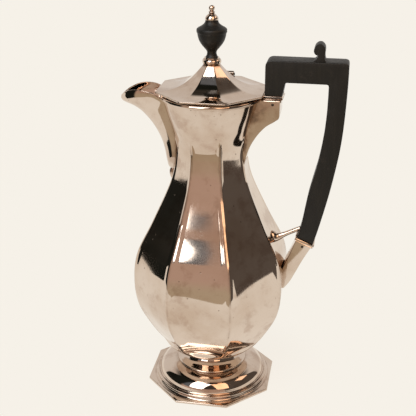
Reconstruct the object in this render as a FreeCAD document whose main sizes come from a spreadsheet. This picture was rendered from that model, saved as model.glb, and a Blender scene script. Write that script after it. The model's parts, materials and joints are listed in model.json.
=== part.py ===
import FreeCAD, Part
import math
import os

import Sketcher
from FreeCAD import Placement, Vector

# Octagonal silver coffee pot with an ebony handle and finial.
# Millimetres. +Z is up, +X points to the handle, -X to the spout and +Y to the lid's hinge.
# The origin is the centre of the foot's underside. Radii of eight-sided pieces go to their corners.

SIZES = {
    # foot
    "foot_radius": 42.0,
    "foot_edge_height": 1.6,
    "foot_edge_width": 4.0,
    "foot_cove_radius": 37.4,
    "foot_bead": 0.8,
    "dome_radius": 34.4,
    "dome_bottom": 4.2,
    "dome_step": 1.9,
    "dome_step_inset": 1.1,
    "dome_curve": 13.5,
    "dome_wall": 1.1,
    "stem_base_radius": 22.0,
    "stem_base_height": 12.7,
    "stem_base_step": 1.3,
    "stem_waist_radius": 14.3,
    "stem_waist_height": 19.6,
    "stem_curve": 6.6,
    "stem_wall": 1.3,
    # body
    "seat_radius": 16.5,
    "seat_height": 21.8,
    "bulge_radius": 49.3,
    "bulge_height": 73.5,
    "neck_radius": 21.8,
    "neck_height": 157.0,
    "mouth_radius": 29.0,
    "mouth_height": 191.4,
    "body_wall": 1.2,
    "floor_height": 24.6,
    "strainer_hole": 1.1,
    "strainer_pitch": 4.2,
    "rim_wire_height": 2.1,
    "rim_wire_depth": 1.3,
    "rim_wire_top": 191.9,
    # spout
    "spout_reach": 53.9,
    "spout_lip_height": 186.0,
    "spout_foot_reach": 24.6,
    "spout_foot_height": 145.0,
    "spout_mouth_half_width": 10.0,
    "spout_wall": 1.1,
    "drop_radius": 1.9,
    "drop_length": 6.0,
    # handle and its sockets
    "handle_depth": 12.6,
    "handle_left": 31.4,
    "handle_right": 77.8,
    "handle_top": 213.2,
    "handle_bar": 12.4,
    "handle_leg_width": 10.6,
    "handle_left_leg_width": 11.4,
    "handle_left_leg_foot": 9.9,
    "handle_rounding": 1.5,
    "grip_straight": 19.0,
    "grip_outer_curve": 300.0,
    "grip_inner_curve": 255.0,
    "grip_lower_curve": 420.0,
    "grip_end_width": 10.2,
    "grip_inner_bend_drop": 47.0,
    "grip_inner_bend_shift": 3.6,
    "thumb_radius": 3.1,
    "thumb_height": 6.9,
    "thumb_place": 61.1,
    "thumb_depth": 7.0,
    "upper_shoulder": 192.6,
    "tenon_width": 5.4,
    "tenon_depth": 8.0,
    "tenon_length": 11.0,
    "tenon_clearance": 0.05,
    "upper_socket_reach": 40.4,
    "upper_socket_top": 189.6,
    "upper_socket_half_width": 8.1,
    "upper_socket_drop": 9.2,
    "upper_socket_tail": 151.5,
    "lip_thickness": 1.3,
    "lip_overhang": 0.7,
    "lower_tilt": 23.0,
    "lower_lip_reach": 58.1,
    "lower_lip_height": 103.5,
    "lower_socket_width": 10.8,
    "lower_socket_half_width": 6.6,
    "lower_socket_root_top": 82.0,
    "lower_socket_root_bottom": 70.5,
    "pin_radius": 0.8,
    "pin_head": 0.25,
    "upper_pin_drop": 1.4,
    "lower_pin_drop": 2.6,
    "brace_radius": 1.1,
    "brace_height": 102.9,
    "brace_above_lip": 6.2,
    "brace_dip": 1.2,
    # lid
    "lid_radius": 33.4,
    "lid_bottom": 193.1,
    "lid_edge": 0.9,
    "lid_apex_radius": 5.3,
    "lid_apex_height": 208.0,
    "lid_wall": 1.0,
    "lid_hollow_radius": 24.6,
    "bezel_radius": 26.0,
    "bezel_wall": 1.0,
    "bezel_depth": 4.0,
    "bezel_flange_radius": 28.4,
    "lid_seat_gap": 0.25,
    # hinge
    "barrel_radius": 1.9,
    "barrel_length": 16.0,
    "knuckle_gap": 0.15,
    "barrel_offset": 2.3,
    "barrel_height": 194.4,
    "hinge_pin_radius": 0.8,
    "hinge_pin_clearance": 0.05,
    "hinge_leaf_drop": 5.5,
    # finial
    "collar_radius": 5.5,
    "collar_height": 4.4,
    "urn_stem_radius": 2.7,
    "urn_foot_radius": 3.6,
    "urn_radius": 8.7,
    "urn_rim_height": 226.9,
    "urn_rim_thickness": 1.5,
    "urn_top_radius": 3.6,
    "urn_top_height": 233.4,
    "cap_radius": 3.8,
    "cap_height": 3.6,
    "cap_neck_radius": 1.3,
    "cap_ring_radius": 1.85,
    "ball_radius": 1.75,
    "ball_height": 240.1,
    "bolt_radius": 1.1,
    "bolt_depth": 1.6,
    "bolt_clearance": 0.1,
    "nut_radius": 3.0,
    "nut_height": 2.4,
    "washer_radius": 3.6,
    "washer_height": 0.6,
}

SIDES = 8
HALF_PANEL = math.pi / SIDES
FLAT = math.cos(HALF_PANEL)
NODES = []

doc = FreeCAD.newDocument("coffee_pot")
sheet = doc.addObject("Spreadsheet::Sheet", "Sizes")


class Size:
    """A number that remembers the sheet expression it comes from."""

    def __init__(self, value, text):
        self.value = value
        self.text = text

    def join(self, other, sign, value):
        return Size(value, "(%s %s %s)" % (self.text, sign, as_size(other).text))

    def __add__(self, other):
        return self.join(other, "+", self.value + as_size(other).value)

    def __sub__(self, other):
        return self.join(other, "-", self.value - as_size(other).value)

    def __mul__(self, other):
        return self.join(other, "*", self.value * as_size(other).value)

    def __truediv__(self, other):
        return self.join(other, "/", self.value / as_size(other).value)

    def __neg__(self):
        return Size(-self.value, "(0 - %s)" % self.text)


def as_size(item):
    return item if isinstance(item, Size) else Size(float(item), "%.9g" % item)


def fill_sheet():
    for row, (name, value) in enumerate(SIZES.items(), start=1):
        sheet.set("A%d" % row, name)
        sheet.set("B%d" % row, str(value))
        sheet.setAlias("B%d" % row, name)
    doc.recompute()


def size(name):
    return Size(float(sheet.get(name)), "Sizes." + name)


def mm(name):
    return float(sheet.get(name))


# ---------------------------------------------------------------- sketches


def new_body(name):
    return doc.addObject("PartDesign::Body", name)


def plane_of(body, role):
    for item in body.Origin.OriginFeatures:
        if item.Role == role:
            return item
    raise ValueError(role)


def new_sketch(body, role, name):
    sketch = body.newObject("Sketcher::SketchObject", name)
    sketch.AttachmentSupport = [(plane_of(body, role), "")]
    sketch.MapMode = "FlatFace"
    return sketch


def bind(sketch, constraint, value):
    kind, *places = constraint
    index = sketch.addConstraint(Sketcher.Constraint(kind, *places, value.value))
    sketch.setExpression("Constraints[%d]" % index, value.text)


def arc_centre(start, end, radius):
    """Centre of the arc from start to end; a positive radius turns left, a negative one right."""
    chord = end - start
    half = chord.Length / 2
    rise = math.sqrt(max(radius * radius - half * half, 0.0))
    normal = Vector(-chord.y, chord.x, 0).normalize()
    return (start + end) * 0.5 + normal * math.copysign(rise, radius)


def draw_outline(sketch, points):
    """Closed outline. A point is (x, y) or (x, y, radius of the arc that leaves it)."""
    spots = [(as_size(p[0]), as_size(p[1])) for p in points]
    flat = [Vector(x.value, y.value, 0) for x, y in spots]
    first = sketch.GeometryCount
    starts = []
    for i, point in enumerate(points):
        start, end = flat[i], flat[(i + 1) % len(flat)]
        if len(point) == 2:
            sketch.addGeometry(Part.LineSegment(start, end), False)
            starts.append((first + i, 1, 2))
            continue
        radius = as_size(point[2])
        centre = arc_centre(start, end, radius.value)
        angles = [math.atan2(v.y - centre.y, v.x - centre.x) for v in (start, end)]
        turns_left = radius.value > 0
        low, high = angles if turns_left else angles[::-1]
        circle = Part.Circle(centre, Vector(0, 0, 1), abs(radius.value))
        sketch.addGeometry(Part.ArcOfCircle(circle, low, high), False)
        starts.append((first + i, 1, 2) if turns_left else (first + i, 2, 1))
    for i, (edge, start_end, far_end) in enumerate(starts):
        following = starts[(i + 1) % len(starts)]
        sketch.addConstraint(
            Sketcher.Constraint("Coincident", edge, far_end, following[0], following[1])
        )
        x, y = spots[i]
        bind(sketch, ("DistanceX", -1, 1, edge, start_end), x)
        bind(sketch, ("DistanceY", -1, 1, edge, start_end), y)
        if len(points[i]) == 3:
            radius = as_size(points[i][2])
            bind(sketch, ("Radius", edge), radius if radius.value > 0 else -radius)


def draw_circle(sketch, x, y, radius):
    index = sketch.addGeometry(
        Part.Circle(Vector(as_size(x).value, as_size(y).value, 0), Vector(0, 0, 1), radius.value),
        False,
    )
    bind(sketch, ("DistanceX", -1, 1, index, 3), as_size(x))
    bind(sketch, ("DistanceY", -1, 1, index, 3), as_size(y))
    bind(sketch, ("Radius", index), radius)


def turned(name, points):
    """A lathe-turned piece: an outline of radius and height, spun about the upright axis."""
    body = new_body(name)
    add_turned(body, name, points)
    return keep(body, name)


def add_turned(body, name, points, kind="Revolution"):
    sketch = new_sketch(body, "XZ_Plane", name + "_outline")
    draw_outline(sketch, points)
    feature = body.newObject("PartDesign::" + kind, name + "_turn")
    feature.Profile = sketch
    feature.ReferenceAxis = (sketch, ["V_Axis"])
    feature.Angle = 360.0
    return feature


def add_pad(body, name, role, points, length, kind="Pad", symmetric=True, circles=()):
    """Extrudes an outline, or cuts it away when kind is Pocket."""
    sketch = new_sketch(body, role, name + "_outline")
    if points:
        draw_outline(sketch, points)
    for x, y, radius in circles:
        draw_circle(sketch, x, y, radius)
    feature = body.newObject("PartDesign::" + kind, name)
    feature.Profile = sketch
    feature.setExpression("Length", as_size(length).text)
    feature.Midplane = symmetric
    return feature


def keep(item, name):
    item.Label = name
    NODES.append(item)
    return item


def polygon(radius, sides, turn):
    """Corners of a regular polygon; radius is a Size."""
    angles = [turn + 2 * math.pi * k / sides for k in range(sides)]
    return [(radius * math.cos(a), radius * math.sin(a)) for a in angles]


def rectangle(x0, x1, y0, y1):
    return [(x0, y0), (x1, y0), (x1, y1), (x0, y1)]


# ---------------------------------------------------------------- free forms


def through(points):
    curve = Part.BSplineCurve()
    curve.interpolate(points)
    return curve


def share(start, end, part):
    return start + (end - start) * part


# Places between two named heights: (share of the height, share of the radius).
BELLY = ((0.066, 0.247), (0.166, 0.46), (0.391, 0.704), (0.681, 0.936))
SHOULDER = ((0.226, 0.091), (0.478, 0.465), (0.78, 0.9))
FLARE = ((0.407, 0.167), (0.785, 0.6))
FLARE_FLAT = 1.08
LID_SWEEP = ((0.006, 0.121), (0.028, 0.246), (0.079, 0.377), (0.164, 0.498), (0.343, 0.658), (0.643, 0.833))


def stations(start, end, shares):
    return [(share(start[0], end[0], r), share(start[1], end[1], up)) for up, r in shares]


def panel_profile():
    """Corner radius and height down the eight-sided body, open enough at the mouth to be round there."""
    seat = (mm("seat_radius"), mm("seat_height"))
    bulge = (mm("bulge_radius"), mm("bulge_height"))
    neck = (mm("neck_radius"), mm("neck_height"))
    mouth = (mm("mouth_radius"), mm("mouth_height"))
    found = [seat] + stations(seat, bulge, BELLY) + [bulge]
    found += stations(bulge, neck, SHOULDER) + [neck]
    found += [(r * FLARE_FLAT, up) for r, up in stations(neck, mouth, FLARE)]
    found.append((mouth[0] / FLAT + mm("body_wall"), mouth[1]))
    return found


def round_profile():
    """Radius and height of the turned mouth that takes the corners off above the neck."""
    neck = (mm("neck_radius"), mm("neck_height"))
    mouth = (mm("mouth_radius"), mm("mouth_height"))
    return [(neck[0] * 1.1, neck[1] - 9.0), neck] + stations(neck, mouth, FLARE) + [mouth]


def inward(points, distance):
    """The same profile, moved towards the inside by a wall."""
    curve = through([Vector(r, 0, up) for r, up in points])
    moved = []
    for r, up in points:
        spot = Vector(r, 0, up)
        along = curve.tangent(curve.parameter(spot))[0]
        moved.append((r - along.z * distance, up + along.x * distance))
    return moved


def straight_on(points, further):
    """Adds a point past the last one, straight up, so that a cut passes right through."""
    return points + [(points[-1][0] + further * 0.4, points[-1][1] + further)]


def closed_face(edges):
    return Part.Face(Part.Wire(Part.__sortEdges__(edges)))


def mirrored(spot):
    return Vector(-spot.x, 0, spot.z)


def panelled(points, skirt=0.0):
    """A solid of eight panels, each curved only up and down: four crossed extrusions of one profile."""
    flats = [Vector(r * FLAT, 0, up) for r, up in points]
    low = flats[0] - Vector(0, 0, skirt)
    edges = [through(flats).toShape(), through([mirrored(v) for v in flats]).toShape()]
    edges.append(Part.makeLine(mirrored(low), low))
    edges.append(Part.makeLine(mirrored(flats[-1]), flats[-1]))
    if skirt:
        edges += [Part.makeLine(low, flats[0]), Part.makeLine(mirrored(low), mirrored(flats[0]))]
    reach = 3 * max(v.x for v in flats)
    slab = closed_face(edges).extrude(Vector(0, 2 * reach, 0))
    slab.translate(Vector(0, -reach, 0))
    form = slab
    for turn in range(1, SIDES // 2):
        crossed = slab.copy()
        crossed.rotate(Vector(0, 0, 0), Vector(0, 0, 1), 360.0 * turn / SIDES)
        form = form.common(crossed)
    return form


def round_limit(points, bottom):
    """A turned solid that is wide below the neck and follows the round profile above it."""
    curve = through([Vector(r, 0, up) for r, up in points]).toShape()
    first, last = points[0], points[-1]
    wide = 2 * mm("bulge_radius")
    corners = [
        Vector(last[0], 0, last[1]),
        Vector(0, 0, last[1]),
        Vector(0, 0, bottom),
        Vector(wide, 0, bottom),
        Vector(wide, 0, first[1] - 12.0),
        Vector(first[0], 0, first[1]),
    ]
    edges = [Part.makeLine(a, b) for a, b in zip(corners, corners[1:])]
    return closed_face(edges + [curve]).revolve(Vector(0, 0, 0), Vector(0, 0, 1), 360)


def body_outside():
    bottom = mm("seat_height") - 1.0
    return panelled(panel_profile()).common(round_limit(round_profile(), bottom))


def body_hollow():
    wall = mm("body_wall")
    panels = panelled(straight_on(inward(panel_profile(), wall), 3.0))
    neck = round_limit(straight_on(inward(round_profile(), wall), 3.0), mm("seat_height") - 5.0)
    above_floor = Part.makeBox(200, 200, 300, Vector(-100, -100, mm("floor_height")))
    return panels.common(neck).common(above_floor)


def freeform(name, shape):
    item = doc.addObject("Part::Feature", name)
    item.Shape = shape
    item.Placement = Placement()
    return keep(item, name)


def strainer_holes(shell):
    """Round holes in the wall behind the spout, in rows that widen with the spout."""
    radius = mm("strainer_hole")
    pitch = mm("strainer_pitch")
    top = mm("mouth_height") - 9.0
    rows = int((top - mm("neck_height")) / pitch) + 1
    for row in range(rows):
        height = top - row * pitch
        room = share(2.0, 8.0, (height - mm("neck_height")) / (top - mm("neck_height")))
        count = 2 * int(room / pitch) + 1
        for k in range(count):
            side = (k - (count - 1) / 2) * pitch
            start = Vector(-mm("mouth_radius") - 4.0, side, height)
            shell = shell.cut(Part.makeCylinder(radius, 25.0, start, Vector(1, 0, 0)))
    return shell


def make_body(outside):
    shell = outside.cut(body_hollow())
    freeform("body_shell", strainer_holes(shell))


# Stations down the spout. Keel: share of the reach and of the height from foot to lip.
# Edge: reach, half width and height as shares of the same spans.
SPOUT_KEEL = (
    (-0.15, -0.06), (0.03, 0.0), (0.06, 0.1), (0.1, 0.25), (0.143, 0.356), (0.225, 0.515),
    (0.338, 0.649), (0.454, 0.751), (0.567, 0.832), (0.66, 0.88), (0.751, 0.917), (0.82, 0.936),
    (0.884, 0.951), (0.94, 0.965), (0.969, 0.975), (1.003, 1.0),
)
SPOUT_EDGE = (
    (-0.2, 0.12, -0.02), (-0.15, 0.5, 0.05), (-0.165, 0.8, 0.17), (-0.18, 0.84, 0.34),
    (-0.18, 0.84, 0.47), (-0.164, 0.84, 0.62), (-0.12, 0.84, 0.76), (-0.05, 0.85, 0.9),
    (0.027, 0.88, 1.02), (0.15, 0.95, 1.09), (0.32, 1.0, 1.155), (0.5, 0.93, 1.178),
    (0.68, 0.74, 1.165), (0.83, 0.48, 1.125), (0.92, 0.26, 1.08), (0.975, 0.12, 1.045),
)
SPOUT_FULLNESS = 0.1


def spout_wire(keel, edge, wall):
    """One closed crescent across the spout: outside from edge to edge, then back along the inside."""
    reach = mm("spout_reach") - mm("spout_foot_reach")
    rise = mm("spout_lip_height") - mm("spout_foot_height")
    low = Vector(-mm("spout_foot_reach") - reach * keel[0], 0, mm("spout_foot_height") + rise * keel[1])
    middle = Vector(-mm("spout_foot_reach") - reach * edge[0], 0, mm("spout_foot_height") + rise * edge[2])
    half = mm("spout_mouth_half_width") * edge[1]
    up = (middle - low).normalize()
    depth = (middle - low).Length

    def side(width, bottom, sign):
        points = []
        for across, along in ((0.42, 0.17), (0.78, 0.52), (1.0, 1.0)):
            spread = width * (across + SPOUT_FULLNESS * math.sin(math.pi * along) * across)
            points.append(low + up * share(bottom, depth, along) + Vector(0, sign * spread, 0))
        return points

    def crescent(width, bottom):
        near, far = side(width, bottom, -1), side(width, bottom, 1)
        return through(near[::-1] + [low + up * bottom] + far).toShape()

    thin = min(wall, half * 0.45)
    outer = crescent(half, 0.0)
    inner = crescent(half - thin, min(wall, depth * 0.4))
    ends = [(outer.Vertexes[k].Point, inner.Vertexes[k].Point) for k in (0, 1)]
    edges = [outer, Part.makeLine(*ends[1]), inner, Part.makeLine(*ends[0][::-1])]
    return Part.Wire(Part.__sortEdges__(edges))


def make_spout(outside):
    wires = [spout_wire(k, e, mm("spout_wall")) for k, e in zip(SPOUT_KEEL, SPOUT_EDGE)]
    beak = Part.makeLoft(wires, True, False)
    rim = Part.makeCylinder(
        mm("mouth_radius") + mm("rim_wire_depth"),
        mm("rim_wire_height"),
        Vector(0, 0, mm("rim_wire_top") - mm("rim_wire_height")),
    )
    return freeform("spout", beak.cut(outside).cut(rim))


def make_drop(outside, spout):
    """The drop where the keel of the spout dies into the neck."""
    radius, tall = mm("drop_radius"), mm("drop_length")
    top = Vector(-mm("spout_foot_reach") + 0.6, 0, mm("spout_foot_height") - tall * 0.66)
    ball = Part.makeSphere(radius, top)
    tail = Part.makeCone(radius * 0.96, 0.6, tall, top - Vector(0, 0, radius * 0.2), Vector(0.12, 0, -1))
    freeform("spout_drop", ball.fuse(tail).cut(outside).cut(spout))


# ---------------------------------------------------------------- handle and sockets


def lower_spot(along, down):
    """A place by the grip's lower end: along its sloping cut, then down into the socket."""
    tilt = math.radians(mm("lower_tilt"))
    x = size("lower_lip_reach") + as_size(along) * math.cos(tilt) - as_size(down) * math.sin(tilt)
    up = size("lower_lip_height") - as_size(along) * math.sin(tilt) - as_size(down) * math.cos(tilt)
    return x, up


def upper_tenon_centre():
    return size("handle_left") + size("handle_left_leg_foot") / 2


def grip_outline():
    left, right = size("handle_left"), size("handle_right")
    top, rounding = size("handle_top"), 3.5
    under = top - size("handle_bar")
    inner = right - size("handle_leg_width")
    curve_top = top - size("grip_straight")
    shoulder = size("upper_shoulder")
    half_end = size("grip_end_width") / 2
    bend = (
        inner - size("grip_inner_bend_shift"),
        under + 2.2 - size("grip_inner_bend_drop"),
        size("grip_inner_curve"),
    )
    leg_right = left + size("handle_left_leg_width")
    return [
        (left, shoulder),
        (left, top - rounding, -3.5),
        (left + rounding, top),
        (right - 2.0, top, -2.0),
        (right, top - 2.0),
        (right, curve_top, -size("grip_outer_curve")),
        lower_spot(half_end, 0),
        lower_spot(-half_end, 0) + (size("grip_lower_curve"),),
        bend,
        (inner, curve_top),
        (inner, under),
        (leg_right, under),
        (left + size("handle_left_leg_foot"), shoulder),
    ]


def thumb_outline():
    """A small scroll curling towards the lid."""
    place, radius, top = size("thumb_place"), size("thumb_radius"), size("handle_top")
    head = top + size("thumb_height")
    return [
        (place - 3.4, top - 1.0),
        (place - 3.4, top + 0.01, 4.2),
        (place - 1.1, head - 3.2, 1.9),
        (place - radius, head - 0.6, -radius),
        (place, head + radius, -radius),
        (place + radius, head, -12.0),
        (place + 3.1, top + 0.01),
        (place + 3.1, top - 1.0),
    ]


def round_edges(body, name, radius, wanted):
    tip = body.Tip
    names = ["Edge%d" % (i + 1) for i, e in enumerate(tip.Shape.Edges) if wanted(e)]
    fillet = body.newObject("PartDesign::Fillet", name)
    fillet.Base = (tip, names)
    fillet.setExpression("Radius", radius.text)
    return fillet


def make_handle():
    body = new_body("handle")
    depth = size("handle_depth")
    add_pad(body, "handle_grip", "XZ_Plane", grip_outline(), depth)
    doc.recompute()
    half = depth.value / 2
    shoulder = mm("upper_shoulder")

    def on_a_long_edge(edge):
        box = edge.BoundBox
        flat = box.YLength < 1e-6 and abs(abs(box.YMin) - half) < 1e-6
        cut_end = box.ZMax < mm("lower_lip_height") + 4.0 or abs(box.ZMax - shoulder) < 1e-6
        return flat and not (cut_end and edge.Length < 14.0)

    round_edges(body, "handle_rounding", size("handle_rounding"), on_a_long_edge)
    add_pad(body, "thumb_scroll", "XZ_Plane", thumb_outline(), size("thumb_depth"))
    half_tenon = size("tenon_width") / 2
    middle, low = upper_tenon_centre(), size("upper_shoulder") - size("tenon_length")
    tenon = rectangle(middle - half_tenon, middle + half_tenon, low, size("upper_shoulder") + 1.0)
    add_pad(body, "upper_tenon", "XZ_Plane", tenon, size("tenon_depth"))
    ends = ((-1, 0), (1, 0), (1, 1), (-1, 1))
    tenon = [lower_spot(half_tenon * a, size("tenon_length") * b - 1.0 * (1 - b)) for a, b in ends]
    add_pad(body, "lower_tenon", "XZ_Plane", tenon, size("tenon_depth"))
    spots = [spot + (size("pin_radius"),) for spot in (upper_pin_spot(), lower_pin_spot())]
    add_pad(body, "pin_holes", "XZ_Plane", [], depth * 2, "Pocket", circles=spots)
    keep(body, "handle")


def upper_pin_spot():
    return upper_tenon_centre(), size("upper_socket_top") - size("upper_pin_drop")


def lower_pin_spot():
    return lower_spot(0, size("lip_thickness") + size("lower_pin_drop"))


def make_pin(name, spot, half_width):
    """A straight rivet across the socket, its ends standing a little proud."""
    body = new_body(name)
    circle = [spot + (size("pin_radius"),)]
    length = (half_width + size("pin_head")) * 2
    add_pad(body, name + "_rod", "XZ_Plane", [], length, circles=circle)
    keep(body, name)


def flat_shape(points, half_width):
    """Extrudes a drawn XZ outline to both sides; curved stretches are given as lists of vectors."""
    edges = []
    for k, item in enumerate(points):
        following = points[(k + 1) % len(points)]
        if isinstance(item, list):
            edges.append(through(item).toShape())
            item = item[-1]
        target = following[0] if isinstance(following, list) else following
        if (item - target).Length > 1e-6:
            edges.append(Part.makeLine(item, target))
    form = closed_face(edges).extrude(Vector(0, 2 * half_width, 0))
    form.translate(Vector(0, -half_width, 0))
    return form


def spot_vector(spot):
    return Vector(as_size(spot[0]).value, 0, as_size(spot[1]).value)


def tenon_room():
    """The two mortises, a clearance wider than the tenons, and the two pin holes."""
    half = mm("tenon_width") / 2 + mm("tenon_clearance")
    wide = mm("tenon_depth") / 2 + mm("tenon_clearance")
    middle = upper_tenon_centre().value
    bottom = mm("upper_shoulder") - mm("tenon_length") - 0.3
    size_box = Vector(2 * half, 2 * wide, 20.0)
    upper = Part.makeBox(*size_box, Vector(middle - half, -wide, bottom))
    ends = ((-half, -5.0), (half, -5.0), (half, mm("tenon_length") + 0.3), (-half, mm("tenon_length") + 0.3))
    lower = flat_shape([spot_vector(lower_spot(a, b)) for a, b in ends], wide)
    return upper.fuse(lower).fuse(pin_rods())


def pin_rods():
    rods = []
    for spot in (upper_pin_spot(), lower_pin_spot()):
        start = spot_vector(spot) - Vector(0, 20, 0)
        rods.append(Part.makeCylinder(mm("pin_radius"), 40.0, start, Vector(0, 1, 0)))
    return rods[0].fuse(rods[1])


def make_upper_socket(outside, rim):
    top, reach = mm("upper_socket_top"), mm("upper_socket_reach")
    corner = Vector(reach - 0.5, 0, top - mm("upper_socket_drop"))
    tail = Vector(mm("neck_radius") - 2.0, 0, mm("upper_socket_tail"))
    bow = [corner, share(corner, tail, 0.5) + Vector(1.6, 0, -1.6 * 0.35) - Vector(3.4, 0, -2.0), tail]
    inside = mm("neck_radius") - 6.0
    points = [
        Vector(inside, 0, top),
        Vector(reach, 0, top),
        Vector(reach, 0, corner.z + 1.0),
        bow,
        Vector(inside, 0, tail.z),
    ]
    form = flat_shape(points, mm("upper_socket_half_width"))
    freeform("upper_socket", form.cut(outside).cut(rim).cut(tenon_room()))


def make_upper_lip():
    """The moulding on top of the socket: a flat plate, then a cove up to the ebony."""
    top, lip = mm("upper_socket_top"), mm("lip_thickness")
    over = mm("lip_overhang")
    half = mm("upper_socket_half_width") + over
    wire = mm("mouth_radius") + mm("rim_wire_depth")
    start = wire - 4.0
    plate = Part.makeBox(
        mm("upper_socket_reach") + over - start, 2 * half, lip, Vector(start, -half, top)
    )
    mouth = Part.makeCylinder(wire, 3 * lip, Vector(0, 0, top - lip))
    left, right = mm("handle_left") + 0.05, mm("handle_left") + mm("handle_left_leg_foot")
    wide = mm("handle_depth") / 2
    cove = Part.makeBox(
        right - left, 2 * wide, mm("upper_shoulder") - top - lip, Vector(left, -wide, top + lip)
    )
    whole = plate.fuse(cove).removeSplitter()
    freeform("upper_socket_lip", whole.cut(mouth).cut(tenon_room()))


def make_lower_socket(outside):
    lip = mm("lip_thickness")
    half = mm("lower_socket_width") / 2
    inner, outer = (spot_vector(lower_spot(a, lip)) for a in (-half, half))
    panel = mm("bulge_radius") * FLAT
    upper_root = Vector(panel - 1.5, 0, mm("lower_socket_root_top"))
    lower_root = Vector(panel - 1.5, 0, mm("lower_socket_root_bottom"))
    outer_bow = [outer, share(outer, lower_root, 0.5) + Vector(0.5, 0, -0.3), lower_root]
    inner_bow = [upper_root, share(upper_root, inner, 0.5) + Vector(0.5, 0, -0.4), inner]
    deep = Vector(panel - 9.0, 0, 0)
    points = [
        outer_bow,
        deep + Vector(0, 0, lower_root.z),
        deep + Vector(0, 0, upper_root.z),
        inner_bow,
    ]
    form = flat_shape(points, mm("lower_socket_half_width"))
    freeform("lower_socket", form.cut(outside).cut(tenon_room()))


def make_lower_lip():
    over = mm("lip_overhang")
    half = mm("lower_socket_width") / 2 + over
    ends = ((-half, 0.0), (half, 0.0), (half, mm("lip_thickness")), (-half, mm("lip_thickness")))
    corners = [spot_vector(lower_spot(a, b)) for a, b in ends]
    form = flat_shape(corners, mm("lower_socket_half_width") + over)
    freeform("lower_socket_lip", form.cut(tenon_room()))


def make_brace(outside, grip):
    """A slim bar from the body to the inner face of the grip, above the lower socket."""
    start = Vector(mm("bulge_radius") * 0.74, 0, mm("brace_height"))
    end = Vector(mm("lower_lip_reach") - 2.0, 0, mm("lower_lip_height") + mm("brace_above_lip"))
    dip = share(start, end, 0.3) - Vector(0, 0, mm("brace_dip"))
    path = Part.Wire(through([start, dip, end]).toShape())
    first = path.Edges[0]
    circle = Part.makeCircle(mm("brace_radius"), start, first.tangentAt(first.FirstParameter))
    bar = path.makePipeShell([Part.Wire(circle)], True, False)
    freeform("handle_brace", bar.cut(outside).cut(grip))


# ---------------------------------------------------------------- foot


def make_foot():
    edge, flange = size("foot_edge_height"), size("foot_cove_radius")
    body = new_body("foot_plate")
    corners = polygon(size("foot_radius"), SIDES, HALF_PANEL)
    hole = [(0, 0, flange - size("foot_edge_width"))]
    add_pad(body, "foot_octagon", "XY_Plane", corners, edge, symmetric=False, circles=hole)
    keep(body, "foot_plate")
    dome, low = size("dome_radius"), size("dome_bottom")
    bead = size("foot_bead")
    inner = flange - size("foot_edge_width")
    turned("foot_moulding", [
        (inner, edge),
        (flange, edge, -2.6),
        (dome + bead, low - bead, bead),
        (dome + bead, low + 0.001),
        (inner, low + 0.001),
    ])
    step, base = size("dome_step"), size("stem_base_radius")
    wall, top = size("dome_wall"), size("stem_base_height")
    shoulder = dome - size("dome_step_inset")
    turned("foot_dome", [
        (dome, low + 0.001),
        (dome, low + step * 0.45),
        (shoulder, low + step * 0.45),
        (shoulder, low + step, size("dome_curve")),
        (base, top),
        (base - wall * 2, top),
        (base - wall * 2, top - wall),
        (base, top - wall, -(size("dome_curve") - wall)),
        (shoulder - wall, low + step),
        (shoulder - wall, low + 0.001),
    ])


def make_stem():
    """The turned spool between the foot and the body, hollow and open below."""
    base, low = size("stem_base_radius"), size("stem_base_height")
    step = low + size("stem_base_step")
    waist, middle = size("stem_waist_radius"), size("stem_waist_height")
    wall, curve = size("stem_wall"), size("stem_curve")
    seat = size("seat_height")
    turned("foot_stem", [
        (base - 3.0, low),
        (base - 0.7, low, 0.75),
        (base - 0.9, step, -curve),
        (waist, middle),
        (waist, seat),
        (waist - wall, seat),
        (waist - wall, middle, curve + wall),
        (base - 3.0, step - wall + 0.3),
    ])


# ---------------------------------------------------------------- rim, lid and hinge


def rim_profile():
    """The half-round wire around the mouth, on the body's flared edge."""
    top, tall = size("rim_wire_top"), size("rim_wire_height")
    mouth, deep = size("mouth_radius"), size("rim_wire_depth")
    return mouth, deep, top, tall


def make_rim(outside):
    mouth, deep, top, tall = (item.value for item in rim_profile())
    ring = Part.makeTorus(mouth + deep - tall / 2, tall / 2, Vector(0, 0, top - tall / 2))
    inner = mouth - mm("body_wall")
    band = Part.makeCylinder(mouth + deep - tall / 2, tall, Vector(0, 0, top - tall))
    hole = Part.makeCylinder(inner, 3 * tall, Vector(0, 0, top - 2 * tall))
    form = ring.fuse(band).cut(hole)
    freeform("rim_wire", form.cut(outside).cut(body_hollow()))


def rim_room():
    """Everything the rim wire fills, as a plain cylinder, for pieces that butt against it."""
    mouth, deep, top, tall = (item.value for item in rim_profile())
    return Part.makeCylinder(mouth + deep, tall + 0.2, Vector(0, 0, top - tall))


def lid_profile():
    """Corner radius and height from the plate's edge up the hollow sweep to the finial."""
    edge = (mm("lid_radius"), mm("lid_bottom") + mm("lid_edge"))
    apex = (mm("lid_apex_radius"), mm("lid_apex_height"))
    return [edge] + stations(edge, apex, LID_SWEEP) + [apex]


def make_lid():
    profile = lid_profile()
    wall, bottom = mm("lid_wall"), mm("lid_bottom")
    cover = panelled(profile, mm("lid_edge"))
    inside = panelled([(r - wall, up - wall * 0.6) for r, up in profile], 2 * wall)
    drum = Part.makeCylinder(mm("lid_hollow_radius"), 40.0, Vector(0, 0, bottom - 1.0))
    ceiling = Part.makeBox(90, 90, 20.0, Vector(-45, -45, mm("lid_apex_height") - wall))
    bolt = Part.makeCylinder(mm("bolt_radius") + mm("bolt_clearance"), 40.0, Vector(0, 0, bottom))
    freeform("lid_cover", cover.cut(inside.common(drum).cut(ceiling)).cut(bolt))


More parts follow.
